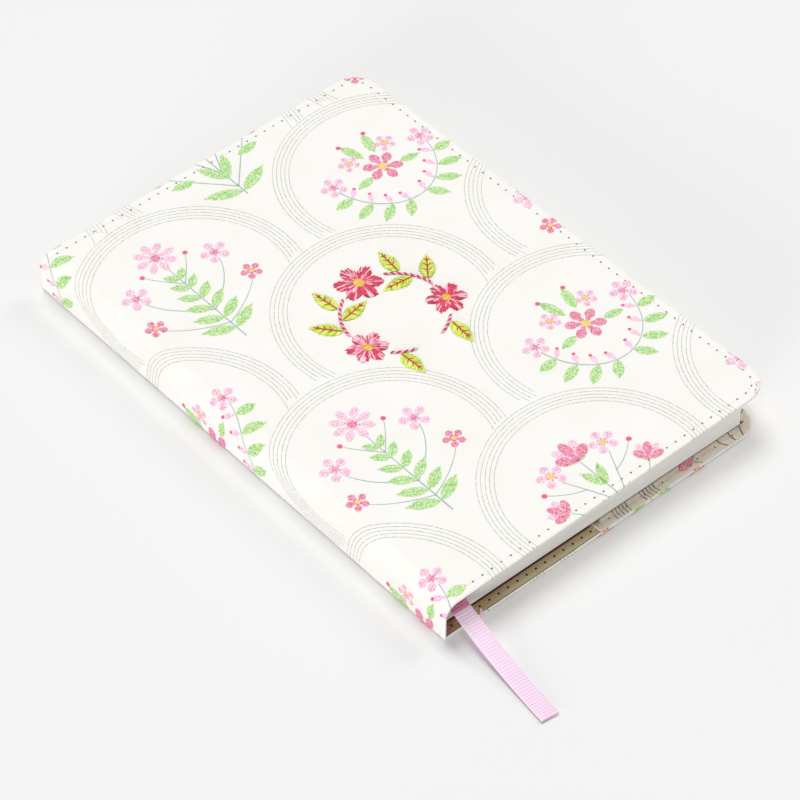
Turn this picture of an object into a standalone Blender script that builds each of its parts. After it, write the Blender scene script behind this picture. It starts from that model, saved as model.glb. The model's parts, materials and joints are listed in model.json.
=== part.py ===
"""Slip-jacket notebook: a printed soft jacket with inner flaps, a sewn leaf block and a ribbon marker.

Book frame: +X from the spine to the fore edge, +Y from the tail to the head, +Z up, in metres.
The book lies closed on its back cover. The origin is under the middle of the jacket.
"""

import math

import bmesh
import bpy
from mathutils import Matrix, Vector

# Jacket
FRONT_COVER_WIDTH = 0.1507
BACK_COVER_SETBACK = 0.0026
COVER_LENGTH = 0.220
FORE_CORNER_RADIUS = 0.010
SPINE_HEIGHT = 0.0159
FRONT_FOLD_RADIUS = 0.006
BACK_FOLD_RADIUS = 0.0015
FRONT_TILT_DEG = 1.5
SKIN_THICKNESS = 0.0007
BOARD_THICKNESS = 0.0005
LINING_THICKNESS = 0.0005
TURNED_EDGE_WIDTH = 0.0010
FLAP_THICKNESS = 0.0005
FLAP_DEPTH = 0.0774
FLAP_EDGE_INSET = 0.0003

# Leaf block, set back from the edges of the jacket
LEAF_END_MARGIN = 0.0046
LEAF_FORE_MARGIN = 0.010
LEAF_SPINE_MARGIN = 0.0036
SECTION_FOLD_RADIUS = 0.0003
SECTIONS_PER_HALF = 4
SPINE_CLOTH_THICKNESS = 0.0005
SPINE_CLOTH_END_MARGIN = 0.005
SPINE_CLOTH_FACE_MARGIN = 0.00105

# Card covers of the leaf block, tucked into the flaps
CARD_THICKNESS = 0.0003
CARD_END_MARGIN = 0.0049
CARD_FORE_OVERLAP = 0.002

# Ribbon marker
RIBBON_WIDTH = 0.007
RIBBON_THICKNESS = 0.0003
RIBBON_HEAD_MARGIN = 0.005
RIBBON_ROUTE = (
    (0.0094, -0.1056, 0.00810),
    (0.0092, -0.1085, 0.00750),
    (0.0088, -0.1135, 0.00590),
    (0.0082, -0.1205, 0.00420),
    (0.0074, -0.1290, 0.00260),
    (0.0065, -0.1380, 0.00140),
    (0.0056, -0.1465, 0.00085),
    (0.0049, -0.1525, 0.00080),
    (0.0044, -0.1564, 0.00100),
)
RIBBON_STEPS = 3

# Edge stitching
SEAM_INSET = 0.0030
THREAD_RADIUS = 0.00020

# Raised embroidery on the front cover, an open wreath
WREATH_CENTRE_X = 0.0767
WREATH_CENTRE_Y = 0.003
WREATH_RADIUS = 0.0195
EMBROIDERY_HEIGHT = 0.00045
STEM_HALF_WIDTH = 0.0007
TOP_BLOSSOM_RADIUS = 0.0095
SIDE_BLOSSOM_RADIUS = 0.0080
SIDE_BLOSSOM_DEG = -20.0
STEM_END_DEG = -74.0
BLOSSOM_PETALS = 6
LEAF_MOTIF_LENGTH = 0.0125
LEAF_MOTIF_WIDTH = 0.0056
LEAF_MOTIF_LEAN_DEG = 52.0
LEAF_MOTIF_DEGS = (46.0, 30.0, 14.0)
LOW_LEAF_DEG = -55.0

# Clearances
LAYER_GAP = 0.00005
GROOVE_CLEARANCE = 0.00013
PIECE_GAP = 0.0003
FOLD_GAP = 0.0003
RIBBON_GAP = 0.00055

# Facets
FOLD_STEPS = 5
CORNER_STEPS = 6
THREAD_SIDES = 6
STEM_STEPS = 8

# Heights through one cover, measured from its outer face
BOARD_START = SKIN_THICKNESS + LAYER_GAP
LINING_START = BOARD_START + BOARD_THICKNESS + LAYER_GAP
LINING_END = LINING_START + LINING_THICKNESS
CARD_START = LINING_END + LAYER_GAP
FLAP_START = CARD_START + CARD_THICKNESS + LAYER_GAP
FLAP_END = FLAP_START + FLAP_THICKNESS
LEAVES_START = FLAP_END + LAYER_GAP
RIM_HEIGHT = LINING_END + 2 * LAYER_GAP
BACK_COVER_WIDTH = FRONT_COVER_WIDTH - BACK_COVER_SETBACK
FLAT_START = FRONT_FOLD_RADIUS + PIECE_GAP
TILT = math.radians(FRONT_TILT_DEG)
HALF_LENGTH = COVER_LENGTH / 2
HALF_LEAF = HALF_LENGTH - LEAF_END_MARGIN
LEAF_SPINE_X = LEAF_SPINE_MARGIN
LEAF_FORE_X = FRONT_COVER_WIDTH - LEAF_FORE_MARGIN
SPINE_CLOTH_X = LEAF_SPINE_X - PIECE_GAP - SPINE_CLOTH_THICKNESS
LEAF_AXIS_X = SPINE_CLOTH_X - 2 * LAYER_GAP
THREAD_DEPTH = THREAD_RADIUS + LAYER_GAP
GROOVE_RADIUS = THREAD_RADIUS + GROOVE_CLEARANCE

COLOURS = {
    "printed_skin": ((0.93, 0.90, 0.83), 0.55),
    "board": ((0.55, 0.50, 0.42), 0.85),
    "lining": ((0.42, 0.36, 0.22), 0.65),
    "card": ((0.45, 0.33, 0.22), 0.80),
    "paper": ((0.92, 0.91, 0.88), 0.85),
    "cloth": ((0.85, 0.83, 0.78), 0.90),
    "thread": ((0.90, 0.86, 0.76), 0.60),
    "ribbon": ((0.95, 0.66, 0.86), 0.50),
    "blossom_thread": ((0.78, 0.07, 0.16), 0.45),
    "leaf_thread": ((0.60, 0.80, 0.10), 0.45),
}


def clear_scene():
    for old in list(bpy.data.objects):
        bpy.data.objects.remove(old, do_unlink=True)


def make_materials():
    made = {}
    for name, (colour, roughness) in COLOURS.items():
        material = bpy.data.materials.new(name)
        material.use_nodes = True
        shader = material.node_tree.nodes["Principled BSDF"]
        shader.inputs["Base Color"].default_value = (*colour, 1.0)
        shader.inputs["Roughness"].default_value = roughness
        shader.inputs["Metallic"].default_value = 0.0
        made[name] = material
    return made


def add_empty(name, parent, location, pitch=0.0):
    empty = bpy.data.objects.new(name, None)
    empty.parent = parent
    empty.location = location
    empty.rotation_euler = (0.0, -pitch, 0.0)
    bpy.context.scene.collection.objects.link(empty)
    return empty


def add_object(name, bm, material, parent):
    bmesh.ops.recalc_face_normals(bm, faces=bm.faces)
    mesh = bpy.data.meshes.new(name)
    bm.to_mesh(mesh)
    bm.free()
    if material:
        mesh.materials.append(material)
    piece = bpy.data.objects.new(name, mesh)
    piece.parent = parent
    bpy.context.scene.collection.objects.link(piece)
    return piece


def add_cutter(name, bm, parent):
    cutter = add_object(name, bm, None, parent)
    cutter.hide_render = True
    cutter.display_type = "WIRE"
    return cutter


def cut(piece, cutter, operation="DIFFERENCE"):
    modifier = piece.modifiers.new(cutter.name, "BOOLEAN")
    modifier.operation = operation
    modifier.solver = "EXACT"
    modifier.object = cutter


def extruded(points, direction):
    """A closed prism: the outline's points, and the same points moved by direction."""
    bm = bmesh.new()
    face = bm.faces.new([bm.verts.new(point) for point in points])
    grown = bmesh.ops.extrude_face_region(bm, geom=[face])
    moved = [item for item in grown["geom"] if isinstance(item, bmesh.types.BMVert)]
    bmesh.ops.translate(bm, verts=moved, vec=direction)
    return bm


def profile_solid(outline, half_length):
    """An outline in X and Z, drawn out along Y on both sides of the middle."""
    points = [Vector((x, -half_length, z)) for x, z in outline]
    return extruded(points, Vector((0.0, 2 * half_length, 0.0)))


def plan_solid(outline, low, high):
    """An outline in X and Y, drawn out from height low to height high."""
    points = [Vector((x, y, low)) for x, y in outline]
    return extruded(points, Vector((0.0, 0.0, high - low)))


def arc_points(centre, radius, start_deg, end_deg, steps):
    found = []
    for step in range(steps + 1):
        angle = math.radians(start_deg + (end_deg - start_deg) * step / steps)
        found.append((centre[0] + radius * math.cos(angle), centre[1] + radius * math.sin(angle)))
    return found


def panel_outline(start_x, end_x, half_length, radius):
    """A panel seen from above, square at the spine side and round at its two fore corners."""
    low = arc_points((end_x - radius, radius - half_length), radius, -90.0, 0.0, CORNER_STEPS)
    high = arc_points((end_x - radius, half_length - radius), radius, 0.0, 90.0, CORNER_STEPS)
    return [(start_x, -half_length), *low, *high, (start_x, half_length)]


def half_fold(corner, own, other, radius, inset):
    """Half of a rounded fold, from the flat of its own side to just short of the middle of the fold."""
    corner, own, other = Vector(corner), Vector(own).normalized(), Vector(other).normalized()
    half_angle = own.angle(other) / 2
    middle = (own + other).normalized()
    centre = corner + middle * (radius / math.sin(half_angle))
    flat = corner + own * (radius / math.tan(half_angle)) - centre
    turn = math.pi / 2 - half_angle - FOLD_GAP / (2 * radius)
    if flat.x * (corner - centre).y - flat.y * (corner - centre).x < 0:
        turn = -turn
    scale = (radius - inset) / radius
    found = []
    for step in range(FOLD_STEPS + 1):
        spoke = Matrix.Rotation(turn * step / FOLD_STEPS, 2) @ flat
        found.append(tuple(centre + spoke * scale))
    return found


def swept(path, radius, up):
    """A closed round thread along a path. up is a direction that the path never takes."""
    bm = bmesh.new()
    rings = []
    last = len(path) - 1
    for index, point in enumerate(path):
        ahead = (path[min(index + 1, last)] - path[max(index - 1, 0)]).normalized()
        side = ahead.cross(up).normalized()
        lift = side.cross(ahead)
        ring = []
        for corner in range(THREAD_SIDES):
            angle = 2 * math.pi * corner / THREAD_SIDES
            ring.append(bm.verts.new(point + radius * (side * math.cos(angle) + lift * math.sin(angle))))
        rings.append(ring)
    for first, second in zip(rings, rings[1:]):
        for corner in range(THREAD_SIDES):
            after = (corner + 1) % THREAD_SIDES
            bm.faces.new((first[corner], first[after], second[after], second[corner]))
    bm.faces.new(rings[0])
    bm.faces.new(rings[-1])
    return bm


class Cover:
    """One board of the jacket in its own flat frame: X from the fold, Z from the outer face inwards."""

    def __init__(self, side, parent, width, inward, spine_direction, fold_radius):
        self.side = side
        self.parent = parent
        self.width = width
        self.inward = inward
        self.spine_direction = spine_direction
        self.fold_radius = fold_radius

    def z(self, depth):
        return self.inward * depth

    def fold(self, inset):
        return half_fold((0.0, 0.0), (1.0, 0.0), self.spine_direction, self.fold_radius, inset)

    def seam_path(self, depth, start_x):
        inset = HALF_LENGTH - SEAM_INSET
        radius = FORE_CORNER_RADIUS - SEAM_INSET
        outline = panel_outline(start_x, self.width - SEAM_INSET, inset, radius)
        return [Vector((x, y, self.z(depth))) for x, y in outline]


def build_skin(cover, material):
    """The printed outer skin, turned up along the three free edges like a shallow tray."""
    outer = cover.fold(0.0)
    inner = cover.fold(SKIN_THICKNESS)
    outline = [
        *reversed(outer),
        (cover.width, 0.0),
        (cover.width, cover.z(RIM_HEIGHT)),
        (FLAT_START, cover.z(RIM_HEIGHT)),
        (FLAT_START, cover.z(SKIN_THICKNESS)),
        *inner,
    ]
    skin = add_object(
        f"{cover.side}_cover_skin", profile_solid(outline, HALF_LENGTH), material, cover.parent
    )
    reach = SPINE_HEIGHT
    plan = panel_outline(-reach, cover.width, HALF_LENGTH, FORE_CORNER_RADIUS)
    cut(skin, add_cutter(f"{cover.side}_plan", plan_solid(plan, -reach, reach), cover.parent), "INTERSECT")
    edge = TURNED_EDGE_WIDTH
    pocket = panel_outline(
        FLAT_START - PIECE_GAP, cover.width - edge, HALF_LENGTH - edge, FORE_CORNER_RADIUS - edge
    )
    low, high = sorted((cover.z(SKIN_THICKNESS), cover.z(RIM_HEIGHT + SKIN_THICKNESS)))
    cut(skin, add_cutter(f"{cover.side}_tray", plan_solid(pocket, low, high), cover.parent))
    return skin


def build_panel(cover, name, start_x, depths, inset, material):
    """A flat sheet inside the tray, between two depths, with its edges drawn in by inset."""
    outline = panel_outline(
        start_x, cover.width - inset, HALF_LENGTH - inset, FORE_CORNER_RADIUS - inset
    )
    low, high = sorted((cover.z(depths[0]), cover.z(depths[1])))
    return add_object(name, plan_solid(outline, low, high), material, cover.parent)


def build_card(cover, material):
    half = HALF_LENGTH - CARD_END_MARGIN
    end_x = LEAF_FORE_X + CARD_FORE_OVERLAP
    outline = [(FLAT_START, -half), (end_x, -half), (end_x, half), (FLAT_START, half)]
    low, high = sorted((cover.z(CARD_START), cover.z(CARD_START + CARD_THICKNESS)))
    return add_object(f"{cover.side}_card", plan_solid(outline, low, high), material, cover.parent)


def build_outer_seam(cover, skin, material):
    """The thread along the three edges, let into a shallow groove in the skin."""
    flat = cover.seam_path(THREAD_DEPTH, FLAT_START)
    fold = cover.fold(THREAD_DEPTH)
    edge = HALF_LENGTH - SEAM_INSET
    tail = [Vector((x, -edge, z)) for x, z in reversed(fold)]
    head = [Vector((x, edge, z)) for x, z in fold]
    path = tail + flat + head
    up = Vector((-1.0, 0.0, 1.7 * cover.inward))
    thread = swept(path, THREAD_RADIUS, up)
    add_object(f"{cover.side}_edge_stitching", thread, material, cover.parent)
    reach = (path[0] - path[1]).normalized() * SKIN_THICKNESS
    longer = [path[0] + reach, *path, path[-1] + (path[-1] - path[-2]).normalized() * SKIN_THICKNESS]
    groove = swept(longer, GROOVE_RADIUS, up)
    cut(skin, add_cutter(f"{cover.side}_groove", groove, cover.parent))


def build_inner_seam(cover, material):
    """The under thread, which lies on the lining and climbs over the flap's folded edge."""
    rise = LAYER_GAP + THREAD_RADIUS
    flap_x = cover.width - FLAP_DEPTH
    on_lining = LINING_END + rise + LAYER_GAP
    on_flap = FLAP_END + rise
    edge = HALF_LENGTH - SEAM_INSET
    climb = 2 * THREAD_RADIUS
    start = [(FLAT_START, on_lining), (flap_x - 3 * climb, on_lining), (flap_x - climb, on_flap)]
    path = [Vector((x, -edge, cover.z(depth))) for x, depth in start]
    path += cover.seam_path(on_flap, flap_x + climb)
    path += [Vector((x, edge, cover.z(depth))) for x, depth in reversed(start)]
    thread = swept(path, THREAD_RADIUS, Vector((-0.35, 0.0, cover.inward)))
    add_object(f"{cover.side}_inner_stitching", thread, material, cover.parent)


def build_cover(cover, materials):
    skin = build_skin(cover, materials["printed_skin"])
    build_outer_seam(cover, skin, materials["thread"])
    edge = TURNED_EDGE_WIDTH + LAYER_GAP
    board = (BOARD_START, BOARD_START + BOARD_THICKNESS)
    build_panel(cover, f"{cover.side}_board", FLAT_START, board, edge, materials["board"])
    lining = (LINING_START, LINING_END)
    build_panel(cover, f"{cover.side}_lining", FLAT_START, lining, edge, materials["lining"])
    flap = (FLAP_START, FLAP_END)
    flap_x = cover.width - FLAP_DEPTH
    build_panel(
        cover, f"{cover.side}_flap", flap_x, flap, FLAP_EDGE_INSET, materials["printed_skin"]
    )
    build_card(cover, materials["card"])
    build_inner_seam(cover, materials["thread"])


def spine_layer(start, end):
    """The outline of one layer of the spine, between two depths from its outer face."""
    front = (math.cos(TILT), math.sin(TILT))

    def back_half(inset):
        return half_fold((0.0, 0.0), (0.0, 1.0), (1.0, 0.0), BACK_FOLD_RADIUS, inset)

    def front_half(inset):
        return half_fold((0.0, SPINE_HEIGHT), (0.0, -1.0), front, FRONT_FOLD_RADIUS, inset)

    outer = list(reversed(back_half(start))) + front_half(start)
    inner = list(reversed(front_half(end))) + back_half(end)
    return outer, inner


def build_spine(parent, materials):
    outer, inner = spine_layer(0.0, SKIN_THICKNESS)
    skin = add_object(
        "spine_skin", profile_solid(outer + inner, HALF_LENGTH), materials["printed_skin"], parent
    )
    edge = TURNED_EDGE_WIDTH
    start = SKIN_THICKNESS + LAYER_GAP
    outer, inner = spine_layer(start, start + LINING_THICKNESS)
    add_object(
        "spine_lining", profile_solid(outer + inner, HALF_LENGTH - edge), materials["lining"], parent
    )
    seam, _ = spine_layer(THREAD_DEPTH, SKIN_THICKNESS)
    for end, y in (("tail", SEAM_INSET - HALF_LENGTH), ("head", HALF_LENGTH - SEAM_INSET)):
        path = [Vector((x, y, z)) for x, z in seam]
        sideways = Vector((0.0, 1.0, 0.0))
        thread = swept(path, THREAD_RADIUS, sideways)
        add_object(f"spine_{end}_stitching", thread, materials["thread"], parent)
        first = path[0] + (path[0] - path[1]).normalized() * SKIN_THICKNESS
        final = path[-1] + (path[-1] - path[-2]).normalized() * SKIN_THICKNESS
        groove = swept([first, *path, final], GROOVE_RADIUS, sideways)
        cut(skin, add_cutter(f"spine_{end}_groove", groove, parent))


def leaf_height(x, share):
    """The height in the leaf block at x, for a share from 0 at the bottom to 1 at the top."""
    top = SPINE_HEIGHT + x * math.tan(TILT) - LEAVES_START / math.cos(TILT)
    return LEAVES_START + share * (top - LEAVES_START)


def section_solid(low, high, low_gap, high_gap):
    """One folded section: a wedge, thinner at its rounded spine fold than at the fore edge."""
    corners = []
    for x in (LEAF_SPINE_X, LEAF_FORE_X):
        corners.append((leaf_height(x, low) + low_gap, leaf_height(x, high) - high_gap))
    (spine_low, spine_high), (fore_low, fore_high) = corners
    round_x = LEAF_SPINE_X + SECTION_FOLD_RADIUS
    outline = [
        (round_x, spine_low),
        (LEAF_FORE_X, fore_low),
        (LEAF_FORE_X, fore_high),
        (round_x, spine_high),
        (LEAF_SPINE_X, spine_high - SECTION_FOLD_RADIUS),
        (LEAF_SPINE_X, spine_low + SECTION_FOLD_RADIUS),
    ]
    return profile_solid(outline, HALF_LEAF)


def add_in_book(name, bm, material, parent, book):
    """Adds a piece that is drawn in the book's frame, under the book or under one of its hinges."""
    if parent != book:
        bmesh.ops.translate(bm, verts=bm.verts, vec=-parent.location)
    add_object(name, bm, material, parent)


def build_block(book, leaf_parents, materials):
    count = 2 * SECTIONS_PER_HALF
    for index in range(count):
        parent = book if index < SECTIONS_PER_HALF else leaf_parents[index - SECTIONS_PER_HALF]
        low_gap = RIBBON_GAP / 2 if index == SECTIONS_PER_HALF else LAYER_GAP / 2
        high_gap = RIBBON_GAP / 2 if index == SECTIONS_PER_HALF - 1 else LAYER_GAP / 2
        bm = section_solid(index / count, (index + 1) / count, low_gap, high_gap)
        add_in_book(f"leaf_section_{index + 1}", bm, materials["paper"], parent, book)
    middle = leaf_height(LEAF_SPINE_X, 0.5)
    start_x = SPINE_CLOTH_X
    end_x = start_x + SPINE_CLOTH_THICKNESS
    halves = (("back", book, -1.0, 0.0), ("front", leaf_parents[-1], 1.0, 1.0))
    for half, parent, direction, face in halves:
        near = middle + direction * RIBBON_GAP / 2
        far = leaf_height(LEAF_SPINE_X, face) - direction * SPINE_CLOTH_FACE_MARGIN
        outline = [(start_x, near), (end_x, near), (end_x, far), (start_x, far)]
        bm = profile_solid(outline, HALF_LEAF - SPINE_CLOTH_END_MARGIN)
        add_in_book(f"{half}_spine_cloth", bm, materials["cloth"], parent, book)


def smooth_route(points, steps):
    """Points on a smooth curve through the given ones."""
    known = [Vector(point) for point in points]
    known = [2 * known[0] - known[1], *known, 2 * known[-1] - known[-2]]
    found = []
    for a, b, c, d in zip(known, known[1:], known[2:], known[3:]):
        for step in range(steps):
            t = step / steps
            square, cube = 2 * a - 5 * b + 4 * c - d, 3 * b - a - 3 * c + d
            found.append(0.5 * (2 * b + t * (c - a) + t**2 * square + t**3 * cube))
    return [*found, known[-2]]


def ribbon_solid(path):
    """A flat band along a path, level across its width."""
    bm = bmesh.new()
    rings = []
    last = len(path) - 1
    for index, point in enumerate(path):
        ahead = (path[min(index + 1, last)] - path[max(index - 1, 0)]).normalized()
        across = ahead.cross(Vector((0.0, 0.0, 1.0))).normalized() * (RIBBON_WIDTH / 2)
        thick = across.cross(ahead).normalized() * (RIBBON_THICKNESS / 2)
        low, high = point - thick, point + thick
        ring = [low - across, low + across, high + across, high - across]
        rings.append([bm.verts.new(corner) for corner in ring])
    for first, second in zip(rings, rings[1:]):
        for corner in range(4):
            after = (corner + 1) % 4
            bm.faces.new((first[corner], first[after], second[after], second[corner]))
    bm.faces.new(rings[0])
    bm.faces.new(rings[-1])
    return bm


def build_ribbon(book, material):
    tail = smooth_route(RIBBON_ROUTE, RIBBON_STEPS)
    add_object("ribbon_tail", ribbon_solid(tail), material, book)
    x = RIBBON_ROUTE[0][0]
    z = leaf_height(x, 0.5)
    start_y = RIBBON_ROUTE[0][1] + PIECE_GAP
    end_y = HALF_LEAF - RIBBON_HEAD_MARGIN
    inner = [Vector((x, start_y, z)), Vector((x, end_y, z))]
    add_object("ribbon_inner", ribbon_solid(inner), material, book)


def wreath_point(angle_deg, radius, mirror):
    angle = math.radians(angle_deg)
    return Vector((
        WREATH_CENTRE_X + mirror * radius * math.cos(angle), WREATH_CENTRE_Y + radius * math.sin(angle)
    ))


def raised(outline):
    """A low raised patch on the outer face of the cover."""
    return plan_solid(outline, LAYER_GAP, LAYER_GAP + EMBROIDERY_HEIGHT)


def blossom_outline(centre, radius):
    found = []
    steps = 6 * BLOSSOM_PETALS
    for step in range(steps):
        angle = 2 * math.pi * step / steps
        reach = radius * (0.68 + 0.32 * abs(math.cos(BLOSSOM_PETALS * angle / 2)) ** 0.6)
        found.append((centre.x + reach * math.sin(angle), centre.y + reach * math.cos(angle)))
    return found


def leaf_outline(base, direction):
    across = Vector((-direction.y, direction.x))
    steps = 8
    sides = []
    for side in (1.0, -1.0):
        for step in range(steps):
            along = step / steps
            wide = math.sin(math.pi * along**0.8) * LEAF_MOTIF_WIDTH / 2
            sides.append((side, along, wide))
    right = [base + direction * LEAF_MOTIF_LENGTH * s + across * w for side, s, w in sides if side > 0]
    left = [base + direction * LEAF_MOTIF_LENGTH * s - across * w for side, s, w in sides if side < 0]
    tip = base + direction * LEAF_MOTIF_LENGTH
    return [tuple(p) for p in (*right, tip, *reversed(left[1:]))]


def stem_outline(start_deg, end_deg, mirror):
    outer, inner = [], []
    for step in range(STEM_STEPS + 1):
        angle = start_deg + (end_deg - start_deg) * step / STEM_STEPS
        outer.append(tuple(wreath_point(angle, WREATH_RADIUS + STEM_HALF_WIDTH, mirror)))
        inner.append(tuple(wreath_point(angle, WREATH_RADIUS - STEM_HALF_WIDTH, mirror)))
    return outer + inner[::-1]


def build_embroidery(parent, materials):
    """An open wreath: three blossoms on a ring of stem, with leaves on both sides of it."""
    red, green = materials["blossom_thread"], materials["leaf_thread"]
    top_half = math.degrees((TOP_BLOSSOM_RADIUS + PIECE_GAP) / WREATH_RADIUS)
    side_half = math.degrees((SIDE_BLOSSOM_RADIUS + PIECE_GAP) / WREATH_RADIUS)
    top = wreath_point(90.0, WREATH_RADIUS, 1.0)
    add_object("embroidered_top_blossom", raised(blossom_outline(top, TOP_BLOSSOM_RADIUS)), red, parent)
    for side, mirror in (("right", 1.0), ("left", -1.0)):
        centre = wreath_point(SIDE_BLOSSOM_DEG, WREATH_RADIUS, mirror)
        blossom = raised(blossom_outline(centre, SIDE_BLOSSOM_RADIUS))
        add_object(f"embroidered_{side}_blossom", blossom, red, parent)
        upper = raised(stem_outline(SIDE_BLOSSOM_DEG + side_half, 90.0 - top_half, mirror))
        add_object(f"embroidered_{side}_stem", upper, red, parent)
        lower = raised(stem_outline(STEM_END_DEG, SIDE_BLOSSOM_DEG - side_half, mirror))
        add_object(f"embroidered_{side}_stem_end", lower, red, parent)
        leaves = [(angle, 1.0, 90.0) for angle in LEAF_MOTIF_DEGS]
        leaves[1] = (LEAF_MOTIF_DEGS[1], -1.0, 90.0)
        leaves.append((LOW_LEAF_DEG, 1.0, -90.0))
        for number, (angle, outward, along) in enumerate(leaves, 1):
            foot = wreath_point(angle, WREATH_RADIUS + outward * (STEM_HALF_WIDTH + PIECE_GAP), mirror)
            turn = math.copysign(LEAF_MOTIF_LEAN_DEG, along) * outward
            lean = math.radians(angle + along - turn)
            direction = Vector((mirror * math.cos(lean), math.sin(lean)))
            leaf = raised(leaf_outline(foot, direction))
            add_object(f"embroidered_{side}_leaf_{number}", leaf, green, parent)


def build_notebook():
    clear_scene()
    materials = make_materials()
    book = add_empty("book", None, (-FRONT_COVER_WIDTH / 2, 0.0, 0.0))
    spine = add_empty("spine_hinge", book, (0.0, 0.0, 0.0))
    front = add_empty("front_cover_hinge", spine, (0.0, 0.0, SPINE_HEIGHT), TILT)
    leaf_place = (LEAF_AXIS_X, 0.0, leaf_height(LEAF_AXIS_X, 0.5))
    leaf_parents = [
        add_empty(f"leaf_hinge_{index + 1}", book, leaf_place) for index in range(SECTIONS_PER_HALF)
    ]
    build_cover(Cover("back", book, BACK_COVER_WIDTH, 1.0, (0.0, 1.0), BACK_FOLD_RADIUS), materials)
    build_spine(spine, materials)
    down = (-math.sin(TILT), -math.cos(TILT))
    build_cover(Cover("front", front, FRONT_COVER_WIDTH, -1.0, down, FRONT_FOLD_RADIUS), materials)
    build_block(book, leaf_parents, materials)
    build_ribbon(book, materials["ribbon"])
    build_embroidery(front, materials)
    bpy.context.view_layer.update()


build_notebook()
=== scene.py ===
import json
import math
import random

import bpy
import numpy as np
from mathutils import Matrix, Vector


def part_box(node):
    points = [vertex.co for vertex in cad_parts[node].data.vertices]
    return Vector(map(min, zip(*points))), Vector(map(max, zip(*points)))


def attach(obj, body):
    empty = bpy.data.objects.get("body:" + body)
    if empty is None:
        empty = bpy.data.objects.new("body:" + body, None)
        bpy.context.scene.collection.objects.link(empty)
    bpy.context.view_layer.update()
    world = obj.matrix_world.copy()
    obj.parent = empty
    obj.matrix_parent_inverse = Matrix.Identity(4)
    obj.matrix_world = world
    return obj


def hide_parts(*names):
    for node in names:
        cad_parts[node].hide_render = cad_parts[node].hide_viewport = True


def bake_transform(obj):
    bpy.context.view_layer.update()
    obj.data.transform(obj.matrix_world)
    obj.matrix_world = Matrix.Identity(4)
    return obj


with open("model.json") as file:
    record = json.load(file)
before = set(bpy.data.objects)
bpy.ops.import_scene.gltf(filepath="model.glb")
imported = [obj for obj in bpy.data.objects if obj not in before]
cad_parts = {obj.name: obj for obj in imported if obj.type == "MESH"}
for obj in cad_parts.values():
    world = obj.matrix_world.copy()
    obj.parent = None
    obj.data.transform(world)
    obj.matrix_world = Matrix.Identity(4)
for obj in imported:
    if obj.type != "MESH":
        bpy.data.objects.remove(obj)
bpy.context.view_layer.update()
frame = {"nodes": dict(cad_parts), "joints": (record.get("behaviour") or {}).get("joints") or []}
bpy.context.scene.view_settings.view_transform = "Standard"
mm = 0.001


# ordinary moves that the pieces share

def only(piece):
    bpy.ops.object.select_all(action="DESELECT")
    piece.select_set(True)
    bpy.context.view_layer.objects.active = piece


def added(operator, **settings):  # a new primitive, selected alone
    bpy.ops.object.select_all(action="DESELECT")
    operator(**settings)
    return bpy.context.object


def applyPlacing():
    bpy.ops.object.transform_apply(location=True, rotation=True, scale=True)


def startEdit(piece):
    only(piece)
    bpy.context.tool_settings.mesh_select_mode = (True, False, False)
    bpy.ops.object.mode_set(mode="EDIT")
    bpy.ops.mesh.select_all(action="SELECT")


def endEdit():
    bpy.ops.object.mode_set(mode="OBJECT")


def pick(piece, test):  # selects the points that pass, while editing
    endEdit()
    for part in (*piece.data.polygons, *piece.data.edges):
        part.select = False
    for point in piece.data.vertices:
        point.select = bool(test(point.co))
    bpy.ops.object.mode_set(mode="EDIT")


def applyModifier(piece, kind, **settings):
    only(piece)
    modifier = piece.modifiers.new(kind.title(), kind)
    for name, value in settings.items():
        setattr(modifier, name, value)
    bpy.ops.object.modifier_apply(modifier=modifier.name)


def thicken(piece, thickness, offset=-1, **settings):
    applyModifier(piece, "SOLIDIFY", thickness=thickness, offset=offset, **settings)


def roundEdges(piece, width, segments):
    applyModifier(piece, "BEVEL", width=width, segments=segments, limit_method="ANGLE",
                  angle_limit=math.radians(60))


def bisectAt(piece, cuts, **clear):  # cuts are (place, direction)
    startEdit(piece)
    for place, direction in cuts:
        bpy.ops.mesh.select_all(action="SELECT")
        bpy.ops.mesh.bisect(plane_co=place, plane_no=direction, threshold=1e-7, **clear)
    endEdit()


def xCuts(places):
    return [((place, 0, 0), (1, 0, 0)) for place in places]


def yCuts(places):
    return [((0, place, 0), (0, 1, 0)) for place in places]


def between(low, high, parts):
    return [low + (high - low) * step / parts for step in range(1, parts)]


def pointsOf(piece):
    found = np.empty(len(piece.data.vertices) * 3)
    piece.data.vertices.foreach_get("co", found)
    return found.reshape(-1, 3)


def placePoints(piece, points):
    piece.data.vertices.foreach_set("co", np.asarray(points, float).ravel())
    piece.data.update()


def faceOutwards(piece, doubles=None):
    startEdit(piece)
    if doubles:
        bpy.ops.mesh.remove_doubles(threshold=doubles)
    bpy.ops.mesh.normals_make_consistent(inside=False)
    endEdit()


def smooth(piece, degrees=40):
    only(piece)
    bpy.ops.object.shade_smooth_by_angle(angle=math.radians(degrees))


def coat(piece, *names):
    for name in names:
        piece.data.materials.append(paints[name])


def finishPiece(piece, degrees, *names):
    faceOutwards(piece)
    smooth(piece, degrees)
    coat(piece, *names)


def setTone(piece, values):  # each point's own shade
    tone = piece.data.attributes.new("tone", "FLOAT", "POINT")
    tone.data.foreach_set("value", np.asarray(values, np.float32))


def setSlots(piece, slots):
    piece.data.polygons.foreach_set("material_index", np.asarray(slots, np.int32))


def discard(piece):
    bpy.data.objects.remove(piece)


def newMesh(name, points, faces):
    mesh = bpy.data.meshes.new(name)
    mesh.from_pydata([tuple(point) for point in points], [], faces)
    piece = bpy.data.objects.new(name, mesh)
    bpy.context.scene.collection.objects.link(piece)
    return piece


def copyMesh(name, source):
    piece = bpy.data.objects.new(name, source.data.copy())
    bpy.context.scene.collection.objects.link(piece)
    piece.data.materials.clear()
    return piece


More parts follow.
